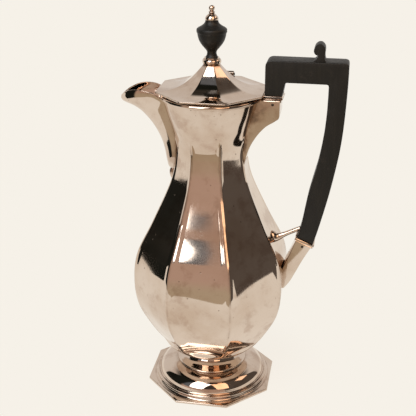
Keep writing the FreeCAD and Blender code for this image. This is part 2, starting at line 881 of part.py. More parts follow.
def make_bezel():
    outer, wall = size("bezel_radius"), size("bezel_wall")
    top = size("lid_bottom")
    seat = size("rim_wire_top") + size("lid_seat_gap")
    turned("lid_bezel", [
        (outer - wall, top - size("bezel_depth")),
        (outer, top - size("bezel_depth")),
        (outer, seat),
        (size("bezel_flange_radius"), seat),
        (size("bezel_flange_radius"), top),
        (outer - wall, top),
    ])


def hinge_axis():
    return Vector(0, mm("lid_radius") * FLAT + mm("barrel_offset"), mm("barrel_height"))


def knuckle(index, radius):
    """One of five knuckles along the barrel, as a plain rod."""
    pitch = mm("barrel_length") / 5
    gap = mm("knuckle_gap") / 2
    low = -mm("barrel_length") / 2 + pitch * index + gap
    start = hinge_axis() + Vector(low, 0, 0)
    return Part.makeCylinder(radius, pitch - 2 * gap, start, Vector(1, 0, 0)), low, pitch - 2 * gap


def make_lid_hinge():
    axis = hinge_axis()
    back = mm("lid_radius") * FLAT
    hole = Part.makeCylinder(
        mm("hinge_pin_radius") + mm("hinge_pin_clearance"), 40.0, axis - Vector(20, 0, 0), Vector(1, 0, 0)
    )
    forms = []
    for index in (1, 3):
        rod, low, length = knuckle(index, mm("barrel_radius"))
        leaf = Part.makeBox(length, axis.y - back, mm("lid_edge"), Vector(low, back, mm("lid_bottom")))
        forms.append(rod.fuse(leaf).cut(hole).removeSplitter())
    for index, form in enumerate(forms, start=1):
        freeform("lid_knuckle_%d" % index, form)


def make_body_hinge(outside, rim):
    axis = hinge_axis()
    half = mm("barrel_length") / 2
    low = mm("rim_wire_top") - mm("hinge_leaf_drop")
    near = mm("mouth_radius") - 6.0
    far = axis.y + mm("barrel_radius") * 0.45
    leaf = Part.makeBox(2 * half, far - near, mm("rim_wire_top") - low, Vector(-half, near, low))
    hole = Part.makeCylinder(mm("hinge_pin_radius"), 40.0, axis - Vector(20, 0, 0), Vector(1, 0, 0))
    form = leaf
    for index in (0, 2, 4):
        rod, start, length = knuckle(index, mm("barrel_radius"))
        post = Part.makeBox(
            length, mm("barrel_radius") * 0.9, axis.z - low,
            Vector(start, far - mm("barrel_radius") * 0.9, low),
        )
        form = form.fuse(rod).fuse(post)
    freeform("body_hinge", form.cut(hole).cut(outside).cut(rim).removeSplitter())


def make_hinge_pin():
    body = new_body("hinge_pin")
    axis = hinge_axis()
    place = [(size("lid_radius") * FLAT + size("barrel_offset"), size("barrel_height"),
              size("hinge_pin_radius"))]
    add_pad(body, "hinge_pin_rod", "YZ_Plane", [], size("barrel_length") + 0.8, circles=place)
    doc.recompute()
    box = body.Shape.BoundBox
    if abs(box.Center.y - axis.y) > 0.01:
        raise ValueError("hinge pin is off its axis")
    keep(body, "hinge_pin")


# ---------------------------------------------------------------- finial


def make_finial():
    hole = size("bolt_radius") + size("bolt_clearance")
    low = size("lid_apex_height")
    collar = low + size("collar_height")
    radius = size("collar_radius")
    turned("finial_collar", [
        (hole, low),
        (radius * 0.86, low),
        (radius * 0.88, low + 0.5, 1.75),
        (radius * 0.88, low + 3.4),
        (radius * 0.79, low + 3.5),
        (radius * 0.79, collar),
        (hole, collar),
    ])
    rim, urn = size("urn_rim_height"), size("urn_radius")
    rim_top = rim + size("urn_rim_thickness")
    top = size("urn_top_height")
    stem, foot = size("urn_stem_radius"), size("urn_foot_radius")
    turned("finial_urn", [
        (hole, collar),
        (foot, collar, -3.2),
        (stem, collar + 2.4, -2.4),
        (foot + 0.4, collar + 4.9, 16.0),
        (urn - 0.4, rim - 0.4),
        (urn, rim),
        (urn, rim_top),
        (urn - 1.0, rim_top + 0.7, -5.0),
        (size("urn_top_radius") + 0.9, rim_top + 2.8, -3.2),
        (size("urn_top_radius"), top),
        (hole, top),
    ])
    cap, ball = size("cap_radius"), size("ball_radius")
    cap_top = top + size("cap_height")
    middle = size("ball_height")
    ring = size("cap_ring_radius")
    neck = size("cap_neck_radius")
    bolt, deep = size("bolt_radius"), top + size("bolt_depth")
    turned("finial_cap", [
        (0, deep),
        (bolt, deep),
        (bolt, top),
        (cap - 0.3, top),
        (cap, top + 0.5, 0.9),
        (cap - 0.25, top + 1.6, 4.4),
        (neck + 0.4, cap_top),
        (neck, cap_top + 0.4),
        (ring, cap_top + 0.7, 0.4),
        (ring - 0.2, cap_top + 1.3),
        (ball * 0.6, middle - ball * 0.8, ball),
        (ball * 0.28, middle + ball * 0.96),
        (0, middle + ball * 0.96),
    ])


def make_finial_bolt():
    ceiling = size("lid_apex_height") - size("lid_wall")
    bolt = size("bolt_radius")
    washer = ceiling - size("washer_height")
    nut = washer - size("nut_height")
    top = size("urn_top_height") + size("bolt_depth")
    turned("finial_bolt", rectangle(0, bolt, nut - 1.0, top))
    turned("finial_washer", rectangle(bolt, size("washer_radius"), washer, ceiling))
    body = new_body("finial_nut")
    sketch = new_sketch(body, "XY_Plane", "finial_nut_outline")
    draw_outline(sketch, polygon(size("nut_radius"), 4, math.pi / 4))
    draw_circle(sketch, 0, 0, bolt)
    sketch.AttachmentOffset = Placement(Vector(0, 0, nut.value), FreeCAD.Rotation())
    sketch.setExpression("AttachmentOffset.Base.z", nut.text)
    pad = body.newObject("PartDesign::Pad", "finial_nut_pad")
    pad.Profile = sketch
    pad.setExpression("Length", "Sizes.nut_height")
    keep(body, "finial_nut")


# ---------------------------------------------------------------- build


def check_all():
    doc.recompute()
    for item in doc.Objects:
        if {"Invalid", "Error"} & set(item.State):
            raise ValueError("%s: %s" % (item.Label, item.State))
    for item in NODES:
        shape = item.Shape
        if shape.isNull() or not shape.isValid() or not shape.Solids:
            raise ValueError("bad shape: %s" % item.Label)


def write_all():
    os.makedirs("parts", exist_ok=True)
    for item in NODES:
        box = item.Shape.BoundBox
        print("%-18s x %7.2f %7.2f  y %7.2f %7.2f  z %7.2f %7.2f  %9.1f mm3 %d" % (
            item.Label, box.XMin, box.XMax, box.YMin, box.YMax, box.ZMin, box.ZMax,
            item.Shape.Volume, len(item.Shape.Solids)))
        item.Shape.exportStep("parts/%s.step" % item.Label)


fill_sheet()
OUTSIDE = body_outside()
RIM = rim_room()
make_foot()
make_stem()
make_body(OUTSIDE)
make_rim(OUTSIDE)
make_drop(OUTSIDE, make_spout(OUTSIDE).Shape)
make_handle()
doc.recompute()
make_upper_socket(OUTSIDE, RIM)
make_upper_lip()
make_lower_socket(OUTSIDE)
make_lower_lip()
make_pin("upper_handle_pin", upper_pin_spot(), size("upper_socket_half_width"))
make_pin("lower_handle_pin", lower_pin_spot(), size("lower_socket_half_width"))
make_brace(OUTSIDE, [n for n in NODES if n.Label == "handle"][0].Shape)
make_lid()
make_bezel()
make_lid_hinge()
make_body_hinge(OUTSIDE, RIM)
make_hinge_pin()
make_finial()
make_finial_bolt()
check_all()
write_all()
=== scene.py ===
import json
import math

import bmesh
import bpy
from mathutils import Matrix, Vector


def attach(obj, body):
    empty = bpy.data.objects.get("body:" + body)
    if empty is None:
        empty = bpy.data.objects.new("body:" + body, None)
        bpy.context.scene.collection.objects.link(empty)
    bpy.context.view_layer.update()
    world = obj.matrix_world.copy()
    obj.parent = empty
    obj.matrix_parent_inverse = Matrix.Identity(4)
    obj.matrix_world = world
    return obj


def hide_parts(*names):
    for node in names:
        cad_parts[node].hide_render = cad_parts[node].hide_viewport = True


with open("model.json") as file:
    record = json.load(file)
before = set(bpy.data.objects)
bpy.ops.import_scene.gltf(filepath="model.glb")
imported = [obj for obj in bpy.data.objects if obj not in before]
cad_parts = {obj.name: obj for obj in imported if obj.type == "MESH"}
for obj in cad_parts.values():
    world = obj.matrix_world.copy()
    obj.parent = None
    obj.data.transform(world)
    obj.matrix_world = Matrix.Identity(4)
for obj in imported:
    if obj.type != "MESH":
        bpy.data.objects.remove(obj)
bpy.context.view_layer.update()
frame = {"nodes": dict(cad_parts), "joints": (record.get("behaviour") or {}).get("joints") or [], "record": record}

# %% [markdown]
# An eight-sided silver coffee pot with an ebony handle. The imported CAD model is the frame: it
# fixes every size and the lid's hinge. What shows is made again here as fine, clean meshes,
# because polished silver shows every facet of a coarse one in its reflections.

MM = 0.001

# %% [markdown]
# Every outline below is a few stations in millimetres. A smooth line through them is
# what a silversmith's template gives; a corner is kept sharp by ending one line and starting the
# next there.

# %% A smooth line through stations


def smooth_line(stations, steps=8):
    """Catmull-Rom through the stations, with steps points for each span."""
    spots = [Vector(s) for s in stations]
    spots = [spots[0] * 2 - spots[1]] + spots + [spots[-1] * 2 - spots[-2]]
    line = []
    for a, b, c, d in zip(spots, spots[1:], spots[2:], spots[3:]):
        for k in range(steps):
            t = k / steps
            line.append(
                0.5 * (2 * b + (c - a) * t + (2 * a - 5 * b + 4 * c - d) * t**2
                       + (3 * b - a - 3 * c + d) * t**3)
            )
    return line + [spots[-2]]


def outline(*pieces):
    """Joins lists of stations into one outline: each list is a smooth line, its ends are corners."""
    line = []
    for piece in pieces:
        part = smooth_line(piece) if len(piece) > 2 else [Vector(s) for s in piece]
        line += part[1:] if line and (line[-1] - part[0]).length < 1e-6 else part
    return line


def step_between(low, high, value):
    t = min(max((value - low) / (high - low), 0.0), 1.0)
    return t * t * (3 - 2 * t)


# %% [markdown]
# A finished piece gets smooth shading with its real corners kept crisp, a material, a body to
# ride on, the CAD nodes it stands for, and a darkening number at each vertex. Silver darkens
# where a polishing cloth doesn't reach: in seams, in grooves and along mouldings. On a few
# pieces the same number also paints shade, and a dark reflection line on the body's ridges.

# %% Finish a piece


def no_tarnish(spot):
    return 0.0


def finish_piece(name, bm, material, body, nodes, tarnish_and_shade=no_tarnish, crisp=32.0, outward=True):
    bmesh.ops.remove_doubles(bm, verts=bm.verts, dist=1e-6)
    if outward:
        bmesh.ops.recalc_face_normals(bm, faces=bm.faces)
    mesh = bpy.data.meshes.new(name)
    bm.to_mesh(mesh)
    bm.free()
    mesh.shade_smooth()
    mesh.set_sharp_from_angle(angle=math.radians(crisp))
    stain_and_shade = mesh.attributes.new("tarnish_and_shade", "FLOAT", "POINT")
    stain_and_shade.data.foreach_set("value", [tarnish_and_shade(v.co / MM) for v in mesh.vertices])
    mesh.materials.append(MATERIALS[material])
    piece = bpy.data.objects.new(name, mesh)
    bpy.context.scene.collection.objects.link(piece)
    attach(piece, body)
    if nodes:
        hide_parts(*nodes)
    print("%-18s %6d faces" % (name, len(mesh.polygons)))
    return piece


def smooth_corners(bm, width, angle=30.0, segments=2, wanted=None):
    """Breaks every edge sharper than the angle by the width in mm, as buffing does."""
    limit = math.radians(angle)
    edges = [
        e for e in bm.edges
        if len(e.link_faces) == 2 and e.calc_face_angle(0.0) > limit and (not wanted or wanted(e))
    ]
    bmesh.ops.bevel(
        bm, geom=edges, offset=width * MM, affect="EDGES", segments=segments, profile=0.5,
        material=-1, clamp_overlap=True,
    )


def spun(line, steps=128):
    """Spins an outline of (radius, height) in mm about the upright axis."""
    bm = bmesh.new()
    verts = [bm.verts.new((p.x * MM, 0.0, p.y * MM)) for p in line]
    for a, b in zip(verts, verts[1:]):
        bm.edges.new((a, b))
    bmesh.ops.spin(
        bm, geom=bm.verts[:] + bm.edges[:], cent=(0, 0, 0), axis=(0, 0, 1), dvec=(0, 0, 0),
        angle=2 * math.pi, steps=steps, use_merge=True, use_duplicate=False,
    )
    bmesh.ops.remove_doubles(bm, verts=bm.verts, dist=1e-6)
    return bm


# %% [markdown]
# A finish is a small tree of nodes. Its colours are sRGB hex values, turned to linear in one
# place, and one function adds any kind of node with its settings and links. Patterns read Object
# coordinates and are scaled in millimetres, so that they have real sizes.

# %% Colours and nodes


def sheen(hex_colour):
    """sRGB hex to linear RGBA."""
    parts = [int(hex_colour[i:i + 2], 16) / 255 for i in (1, 3, 5)]
    return tuple(p / 12.92 if p <= 0.04045 else ((p + 0.055) / 1.055) ** 2.4 for p in parts) + (1.0,)


def add_node(tree, kind, settings=None, **links):
    """Adds a node. settings are its own properties and plain inputs; links name sockets."""
    node = tree.nodes.new("ShaderNode" + kind)
    for key, value in (settings or {}).items():
        if isinstance(key, str) and hasattr(node, key):
            setattr(node, key, value)
        else:
            node.inputs[key].default_value = value
    for key, source in links.items():
        socket = node.inputs[int(key[1:])] if key[1:].isdigit() else node.inputs[key.replace("_", " ")]
        tree.links.new(source, socket)
    return node


def new_material(name):
    material = bpy.data.materials.new(name)
    material.use_nodes = True
    tree = material.node_tree
    shader = tree.nodes["Principled BSDF"]
    place = add_node(tree, "TexCoord").outputs["Object"]
    return material, tree, shader, place


def per_mm(millimetres):
    """Texture scale that repeats about once in this many millimetres."""
    return 1.0 / (millimetres * MM)


def ramp(tree, source, low, high):
    """0 below low, 1 above high."""
    return add_node(
        tree, "MapRange", {"interpolation_type": "SMOOTHSTEP", 1: low, 2: high}, Value=source
    ).outputs[0]


def times(tree, a, b):
    node = add_node(tree, "Math", {"operation": "MULTIPLY"}, i0=a)
    if isinstance(b, float):
        node.inputs[1].default_value = b
    else:
        tree.links.new(b, node.inputs[1])
    return node.outputs[0]


def blend_colour(tree, factor, first, second):
    node = add_node(tree, "Mix", {"data_type": "RGBA"})
    for value, socket in ((factor, 0), (first, 6), (second, 7)):
        if isinstance(value, (tuple, float)):
            node.inputs[socket].default_value = value
        else:
            tree.links.new(value, node.inputs[socket])
    return node.outputs[2]


# %% [markdown]
# Silver: raised and hammered from sheet, then polished on a buffing wheel. It is a bare metal with
# a slightly warm colour. Old polish leaves soft cloudiness, short fine scratches, small pits, and
# brown to copper tarnish in the corners. The same brown also paints shade under the rim wire and
# the upper socket's lip and round the lid's edge, and a dark reflection line along the body's
# ridges. Real scratches are narrower than a hair and would not show, so they are drawn about half
# a millimetre wide. A painted texture could hold all this, but noise needs no seams and keeps its
# detail close up.

# %% Polished silver


def make_silver(name, base, rough, tarnish_and_shade_strength):
    material, tree, shader, place = new_material(name)
    stain_and_shade = add_node(tree, "Attribute", {"attribute_name": "tarnish_and_shade"}).outputs["Fac"]
    cloud = add_node(
        tree, "TexNoise", {"Scale": per_mm(34), "Detail": 4.0, "Roughness": 0.55}, Vector=place
    ).outputs[0]
    patch = add_node(
        tree, "TexNoise", {"Scale": per_mm(5), "Detail": 3.0, "Roughness": 0.5}, Vector=place
    ).outputs[0]
    hairlines = []
    for turn, stretch in ((0.5, (1.0, 18.0, 1.0)), (2.1, (14.0, 1.0, 3.0))):
        mapped = add_node(tree, "Mapping", {"Rotation": (turn, 0.3, turn), "Scale": stretch}, Vector=place)
        lines = add_node(
            tree, "TexNoise", {"Scale": per_mm(9), "Detail": 2.0, "Roughness": 0.7},
            Vector=mapped.outputs[0],
        )
        hairlines.append(lines.outputs[0])
    pits = add_node(tree, "TexVoronoi", {"Scale": per_mm(6.5), "Randomness": 1.0}, Vector=place)
    pit = ramp(tree, pits.outputs["Distance"], 0.075, 0.045)
    mottle = add_node(
        tree, "TexNoise", {"Scale": per_mm(13), "Detail": 7.0, "Roughness": 0.62, "Distortion": 0.2},
        Vector=place,
    ).outputs[0]
    warm = blend_colour(tree, ramp(tree, cloud, 0.42, 0.72), sheen(base), sheen("#CBB6A4"))
    brown = times(tree, ramp(tree, mottle, 0.50, 0.68), 0.42)
    warm = blend_colour(tree, brown, warm, sheen("#A58672"))
    dark = blend_colour(tree, ramp(tree, patch, 0.35, 0.7), sheen("#9C7354"), sheen("#5E4634"))
    # The darkening number mixes in brown: tarnish, and on a few pieces painted shade and a painted dark reflection
    # line.
    edge = times(tree, ramp(tree, stain_and_shade, 0.05, 0.95), ramp(tree, patch, 0.22, 0.62))
    stained_and_shaded = blend_colour(tree, times(tree, edge, tarnish_and_shade_strength), warm, dark)
    final = blend_colour(tree, times(tree, pit, 0.55), stained_and_shaded, sheen("#5A4A3A"))
    tree.links.new(final, shader.inputs["Base Color"])
    shader.inputs["Metallic"].default_value = 1.0
    worn = add_node(
        tree, "MapRange", {1: 0.3, 2: 0.75, 3: rough * 0.75, 4: rough * 1.5}, Value=cloud
    ).outputs[0]
    total = add_node(tree, "Math", {"operation": "MULTIPLY_ADD", 1: 0.22}, i0=edge, i2=worn).outputs[0]
    tree.links.new(total, shader.inputs["Roughness"])
    bump = None
    layers = [(hairlines[0], 0.0015), (hairlines[1], 0.001), (cloud, 0.03), (pit, -0.02)]
    for height, depth in layers:
        node = add_node(tree, "Bump", {"Strength": 1.0, "Distance": depth * MM}, Height=height)
        if bump:
            tree.links.new(bump, node.inputs["Normal"])
        bump = node.outputs[0]
    tree.links.new(bump, shader.inputs["Normal"])
    return material


# %% [markdown]
# Ebony: a wood so dense that it polishes like horn. It is nearly black with faint brown streaks
# along the grain. On an old handle the oil has gone, so it is satin, with pale dust in the pores
# and small scuffs on the corners.

# %% Oiled ebony


def make_ebony(name):
    material, tree, shader, place = new_material(name)
    along = add_node(tree, "Mapping", {"Scale": (1.0, 1.0, 0.09)}, Vector=place).outputs[0]
    streak = add_node(
        tree, "TexNoise", {"Scale": per_mm(2.2), "Detail": 6.0, "Roughness": 0.6}, Vector=along
    ).outputs[0]
    pores = add_node(tree, "TexNoise", {"Scale": per_mm(0.7), "Detail": 2.0}, Vector=along).outputs[0]
    scuffs = add_node(
        tree, "TexNoise", {"Scale": per_mm(7), "Detail": 8.0, "Roughness": 0.75}, Vector=place
    ).outputs[0]
    wood = blend_colour(tree, ramp(tree, streak, 0.35, 0.75), sheen("#0C0D0B"), sheen("#181713"))
    dust = times(tree, ramp(tree, scuffs, 0.56, 0.78), 0.16)
    tree.links.new(blend_colour(tree, dust, wood, sheen("#7A6B5C")), shader.inputs["Base Color"])
    gloss = add_node(tree, "MapRange", {1: 0.3, 2: 0.75, 3: 0.40, 4: 0.62}, Value=scuffs).outputs[0]
    tree.links.new(gloss, shader.inputs["Roughness"])
    shader.inputs["IOR"].default_value = 1.46
    bump = add_node(tree, "Bump", {"Strength": 0.8, "Distance": 0.05 * MM}, Height=pores).outputs[0]
    worn = add_node(tree, "Bump", {"Strength": 0.7, "Distance": 0.10 * MM}, Height=scuffs, Normal=bump)
    tree.links.new(worn.outputs[0], shader.inputs["Normal"])
    return material


# %% [markdown]
# Steel: the two pins are cut from drawn wire that has gone dull and brown. A fine grain in its
# colour and a rougher surface are enough for a spot two millimetres wide.

# %% Drawn steel wire


def make_wire_steel(name):
    material, tree, shader, place = new_material(name)
    grain = add_node(tree, "TexNoise", {"Scale": per_mm(0.6), "Detail": 4.0}, Vector=place).outputs[0]
    tree.links.new(
        blend_colour(tree, ramp(tree, grain, 0.35, 0.7), sheen("#4E4842"), sheen("#2A2521")),
        shader.inputs["Base Color"],
    )
    shader.inputs["Metallic"].default_value = 1.0
    shader.inputs["Roughness"].default_value = 0.42
    bump = add_node(tree, "Bump", {"Strength": 0.6, "Distance": 0.03 * MM}, Height=grain)
    tree.links.new(bump.outputs[0], shader.inputs["Normal"])
    return material


# %% [markdown]
# Three finishes cover the pot. Every CAD node gets the one that its record names, because hidden
# ones, such as the nut under the lid, stay as the CAD made them.

# %% A finish for every node
MATERIALS = {
    "silver": make_silver("Polished silver", "#DBCBBD", 0.05, 0.8),
    "ebony": make_ebony("Oiled ebony"),
    "steel": make_wire_steel("Drawn steel wire"),
}
for node_name, node in frame["nodes"].items():
    slot_name = next(s["material_slot"] for s in frame["record"]["subparts"] if s["node"] == node_name)
    node.data.materials.clear()
    node.data.materials.append(MATERIALS[slot_name])
print("materials:", ", ".join(m.name for m in MATERIALS.values()))

# %% [markdown]
# The body is raised from one sheet into eight panels that meet in soft ridges, and the neck is
# left round where it flares to the mouth. Here a smooth outline is spun, then each vertex is
# moved in or out so that its level becomes an octagon, more and more rounded towards the mouth
# and the seat. Eight separate flat panels would need a blend into the round neck made by hand.

# %% Eight panels
SIDES = 8
PANEL_TURN = 2 * math.pi / SIDES
FLAT = math.cos(PANEL_TURN / 2)


def off_panel_middle(angle):
    """Angle from the middle of the nearest panel; panels face +X, +Y and so on."""
    return (angle + PANEL_TURN / 2) % PANEL_TURN - PANEL_TURN / 2


def make_panelled(bm, roundness):
    """Pulls a spun form in to eight flat panels; roundness(height) 1 keeps a level round."""
    for vert in bm.verts:
        radius = math.hypot(vert.co.x, vert.co.y)
        if radius < 1e-7:
            continue
        turn = off_panel_middle(math.atan2(vert.co.y, vert.co.x))
        pull = FLAT / math.cos(turn)
        pull += (1 - pull) * roundness(vert.co.z / MM)
        vert.co.x *= pull
        vert.co.y *= pull


def on_ridge(edge, low, high):
    """True for an edge that runs up a ridge between two panels."""
    for vert in edge.verts:
        turn = abs(off_panel_middle(math.atan2(vert.co.y, vert.co.x)))
        if abs(turn - PANEL_TURN / 2) > 1e-3 or not low <= vert.co.z / MM <= high:
            return False
    return math.hypot(edge.verts[0].co.x, edge.verts[0].co.y) > 3 * MM


def soften_ridges(bm, width, low, high, segments=4):
    edges = [e for e in bm.edges if on_ridge(e, low, high)]
    bmesh.ops.bevel(
        bm, geom=edges, offset=width * MM, affect="EDGES", segments=segments, profile=0.5,
        material=-1, clamp_overlap=True,
    )


def near(value, target, width):
    return math.exp(-((value - target) / width) ** 2)


# %% [markdown]
# The stations are (radius, height), from the joint with the stem, round the belly and up the
# narrow neck to the rim. After the panels are made the ridges are broken with a bevel, as
# polishing does, and the sheet gets its thickness last, so that the wall is even.

# %% The body
BODY_LINE = (
    (0.0, 23.0), (9.0, 22.9), (16.5, 22.3), (24.6, 25.2), (31.6, 30.4), (39.6, 42.0), (47.0, 57.0),
    (49.3, 73.5), (46.9, 92.4), (36.5, 113.4), (25.0, 138.6), (21.7, 155.0), (22.0, 163.0),
    (23.6, 171.5), (26.6, 181.0), (29.2, 190.1),
)
NECK_ROUND = (160.0, 173.0)
SEAT_ROUND = (28.5, 33.5)
WALL = 1.0


def body_roundness(height):
    return max(step_between(*NECK_ROUND, height), 1 - step_between(*SEAT_ROUND, height))


# A thin dark line along each ridge is a painted reflection; the band under the rim wire is seam tarnish and
# painted shade; the joint with the stem is darkened too.
def body_tarnish_and_shade(spot):
    radius = math.hypot(spot.x, spot.y)
    turn = PANEL_TURN / 2 - abs(off_panel_middle(math.atan2(spot.y, spot.x)))
    ridge = math.exp(-((radius * turn / 0.9) ** 2)) * (1 - body_roundness(spot.z))
    return min(1.0, 0.42 * ridge + 0.6 * near(spot.z, 190.0, 0.8) + 0.3 * near(spot.z, 24.0, 1.2))


def make_body():
    bm = spun(smooth_line(BODY_LINE, 9), steps=SIDES * 16)
    bmesh.ops.rotate(
        bm, verts=bm.verts, cent=(0, 0, 0), matrix=Matrix.Rotation(PANEL_TURN / 2, 3, "Z")
    )
    make_panelled(bm, body_roundness)
    soften_ridges(bm, 0.7, 24.0, 176.0)
    bmesh.ops.recalc_face_normals(bm, faces=bm.faces)
    bmesh.ops.solidify(bm, geom=bm.faces[:], thickness=-WALL * MM)
    return finish_piece("pot_body", bm, "silver", "pot", ["body_shell"], body_tarnish_and_shade, outward=False)


make_body()

# %% [markdown]
# The mouth is strengthened by a half-round wire, drawn through a plate and soldered on. A spun
# outline is enough.

# %% The rim wire


def make_rim_wire():
    line = outline(
        ((27.6, 189.4), (29.2, 189.3)),
        ((29.2, 189.3), (30.2, 189.6), (30.7, 190.6), (30.3, 191.6), (29.2, 192.0)),
        ((29.2, 192.0), (28.0, 191.7), (27.7, 191.0), (27.6, 189.4)),
    )
    bm = spun(line, steps=160)
    # The wire's lower edge is darkened: tarnish in its soldered seam, and painted shade under the wire.
    return finish_piece(
        "rim_wire", bm, "silver", "pot", ["rim_wire"], lambda p: 0.5 * near(p.z, 189.3, 0.2), crisp=60
    )


make_rim_wire()

# %% [markdown]
# The foot is four pieces soldered together: a flat octagonal plate, a cove and bead run round it,
# a raised dome, and a turned spool that carries the body. The plate is cut from sheet, so it is a
# ring of eight corners, extruded and beveled.

# %% The foot's plate
FOOT_RADIUS = 42.0


def make_foot_plate():
    bm = bmesh.new()
    bmesh.ops.create_circle(
        bm, cap_ends=True, cap_tris=False, segments=SIDES, radius=FOOT_RADIUS * MM,
        matrix=Matrix.Rotation(PANEL_TURN / 2, 4, "Z"),
    )
    bmesh.ops.inset_region(
        bm, faces=bm.faces[:], thickness=7.0 * MM, use_even_offset=True, use_boundary=True
    )
    inner = [f for f in bm.faces if f.calc_center_median().length < 1e-5]
    bmesh.ops.delete(bm, geom=inner, context="FACES_ONLY")
    made = bmesh.ops.extrude_face_region(bm, geom=bm.faces[:])
    up = [g for g in made["geom"] if isinstance(g, bmesh.types.BMVert)]
    bmesh.ops.translate(bm, verts=up, vec=(0, 0, 1.5 * MM))
    smooth_corners(bm, 0.32, segments=3)
    return finish_piece(
        "foot_plate", bm, "silver", "pot", ["foot_plate"],
        lambda p: 0.6 if p.z < 0.3 else 0.12 + 0.5 * near(math.hypot(p.x, p.y), 37.8, 0.7),
    )


make_foot_plate()

# %% [markdown]
# The other three are turned or raised round, so each is one closed outline spun about the axis.
# Closed, it leaves the real hollow under the dome. Tarnish collects in the lines between them.

# %% Moulding, dome and spool


def foot_line_tarnish(spot):
    lines = near(spot.z, 1.6, 0.35) + near(spot.z, 5.1, 0.3) + near(spot.z, 12.9, 0.35)
    return min(0.8, 0.6 * lines)


def make_foot_moulding():
    line = outline(
        ((33.2, 1.0), (37.6, 1.0)),
        ((37.6, 1.0), (37.5, 1.65)),
        ((37.5, 1.65), (36.4, 2.0), (35.9, 2.6), (35.8, 3.5)),
        ((35.8, 3.5), (36.0, 3.9), (35.8, 4.5), (35.2, 4.8)),
        ((35.2, 4.8), (34.6, 4.75), (34.4, 4.4)),
        ((34.4, 4.4), (33.2, 4.3)),
        ((33.2, 4.3), (33.2, 1.0)),
    )
    return finish_piece(
        "foot_moulding", spun(line, 144), "silver", "pot", ["foot_moulding"], foot_line_tarnish
    )


def make_foot_dome():
    line = outline(
        ((34.4, 4.4), (34.5, 5.0), (34.2, 5.35)),
        ((34.2, 5.35), (33.6, 5.4)),
        ((33.6, 5.4), (33.5, 5.9)),
        ((33.5, 5.9), (32.6, 8.1), (30.2, 10.5), (26.6, 12.1), (22.0, 12.75)),
        ((22.0, 12.75), (19.5, 12.8)),
        ((19.5, 12.8), (19.5, 11.7)),
        ((19.5, 11.7), (22.0, 11.7), (26.0, 11.1), (29.6, 9.3), (32.4, 5.9)),
        ((32.4, 5.9), (33.2, 4.4)),
        ((33.2, 4.4), (34.4, 4.4)),
    )
    return finish_piece("foot_dome", spun(line, 144), "silver", "pot", ["foot_dome"], foot_line_tarnish)


def make_foot_stem():
    line = outline(
        ((19.6, 12.6), (21.7, 12.7)),
        ((21.7, 12.7), (22.1, 13.3), (21.9, 13.8), (21.3, 14.1)),
        ((21.3, 14.1), (20.6, 14.25)),
        ((20.6, 14.25), (17.4, 15.6), (15.2, 17.9), (14.5, 20.3), (14.9, 22.4)),
        ((14.9, 22.4), (13.2, 22.4)),
        ((13.2, 22.4), (13.1, 20.0), (14.0, 17.2), (16.2, 14.6), (19.6, 12.6)),
    )
    return finish_piece("foot_stem", spun(line, 128), "silver", "pot", ["foot_stem"], foot_line_tarnish)


make_foot_moulding()
make_foot_dome()
make_foot_stem()

# %% [markdown]
# The spout is a beak: a sheet bent into a trough whose foot covers one whole panel, from ridge to
# ridge, and whose lip pours from the level of the rim. A flat grid is laid along it: each row of
# the grid becomes one bowed section from edge to keel to edge. Then it gets its thickness.

# %% The spout
SPOUT_SECTIONS = (
    # keel x, keel z, edge x, half width, edge z
    (-20.6, 142.5, -19.2, 1.4, 144.2),
    (-25.2, 145.0, -20.3, 5.0, 147.0),
    (-26.3, 149.1, -20.1, 8.0, 152.0),
    (-27.4, 155.3, -19.8, 8.4, 159.0),
    (-28.8, 160.6, -19.7, 8.4, 164.3),
    (-31.2, 166.1, -20.2, 8.4, 170.4),
    (-34.5, 171.6, -21.6, 8.4, 176.2),
    (-37.9, 175.8, -23.7, 8.5, 181.9),
    (-41.2, 179.1, -26.0, 8.8, 186.8),
    (-43.9, 181.1, -29.2, 9.5, 189.9),
    (-46.6, 182.7, -34.0, 10.0, 192.4),
    (-48.6, 183.5, -39.3, 9.3, 193.4),
    (-50.5, 184.1, -44.5, 7.4, 193.0),
    (-52.1, 184.7, -48.9, 4.8, 191.3),
    (-53.0, 185.2, -51.6, 2.6, 189.5),
    (-53.7, 186.2, -53.2, 1.2, 188.0),
)
SPOUT_ACROSS = 24
SPOUT_SHEET = 0.9


def spout_spot(section, across):
    """across runs from -1 at one edge through 0 at the keel to 1 at the other edge."""
    keel_x, keel_z, edge_x, half, edge_z = section
    bow = abs(across) * math.pi / 2
    rise = (1 - math.cos(bow)) ** 0.94
    side = math.copysign(math.sin(bow), across)
    return Vector((keel_x + (edge_x - keel_x) * rise, half * side, keel_z + (edge_z - keel_z) * rise))


def spout_tarnish(spot):
    wall = math.hypot(spot.x, spot.y) - 22.0 - max(0.0, spot.z - 165.0) * 0.19
    return min(1.0, 0.8 * math.exp(-max(wall, 0.0) / 0.9) + near(spot.x, -54.5, 1.5) * 0.3)


def make_spout():
    rows = smooth_line(SPOUT_SECTIONS, 5)
    bm = bmesh.new()
    bmesh.ops.create_grid(bm, x_segments=SPOUT_ACROSS, y_segments=len(rows) - 1, size=0.5)
    for vert in bm.verts:
        row = rows[round((vert.co.y + 0.5) * (len(rows) - 1))]
        vert.co = spout_spot(row, 2 * vert.co.x) * MM
    bmesh.ops.recalc_face_normals(bm, faces=bm.faces)
    keel = max(bm.faces, key=lambda f: -f.calc_center_median().x)
    if keel.normal.x > 0:
        bmesh.ops.reverse_faces(bm, faces=bm.faces)
    bmesh.ops.solidify(bm, geom=bm.faces[:], thickness=-SPOUT_SHEET * MM)
    smooth_corners(bm, 0.35, angle=50.0, segments=3)
    return finish_piece("spout", bm, "silver", "pot", ["spout"], spout_tarnish, crisp=70, outward=False)


make_spout()

# %% [markdown]
# A small drop covers the point where the spout's keel dies into the neck. The real one is cast
# and filed; here a ball is drawn out to a blunt top and a long tail.

# %% The drop


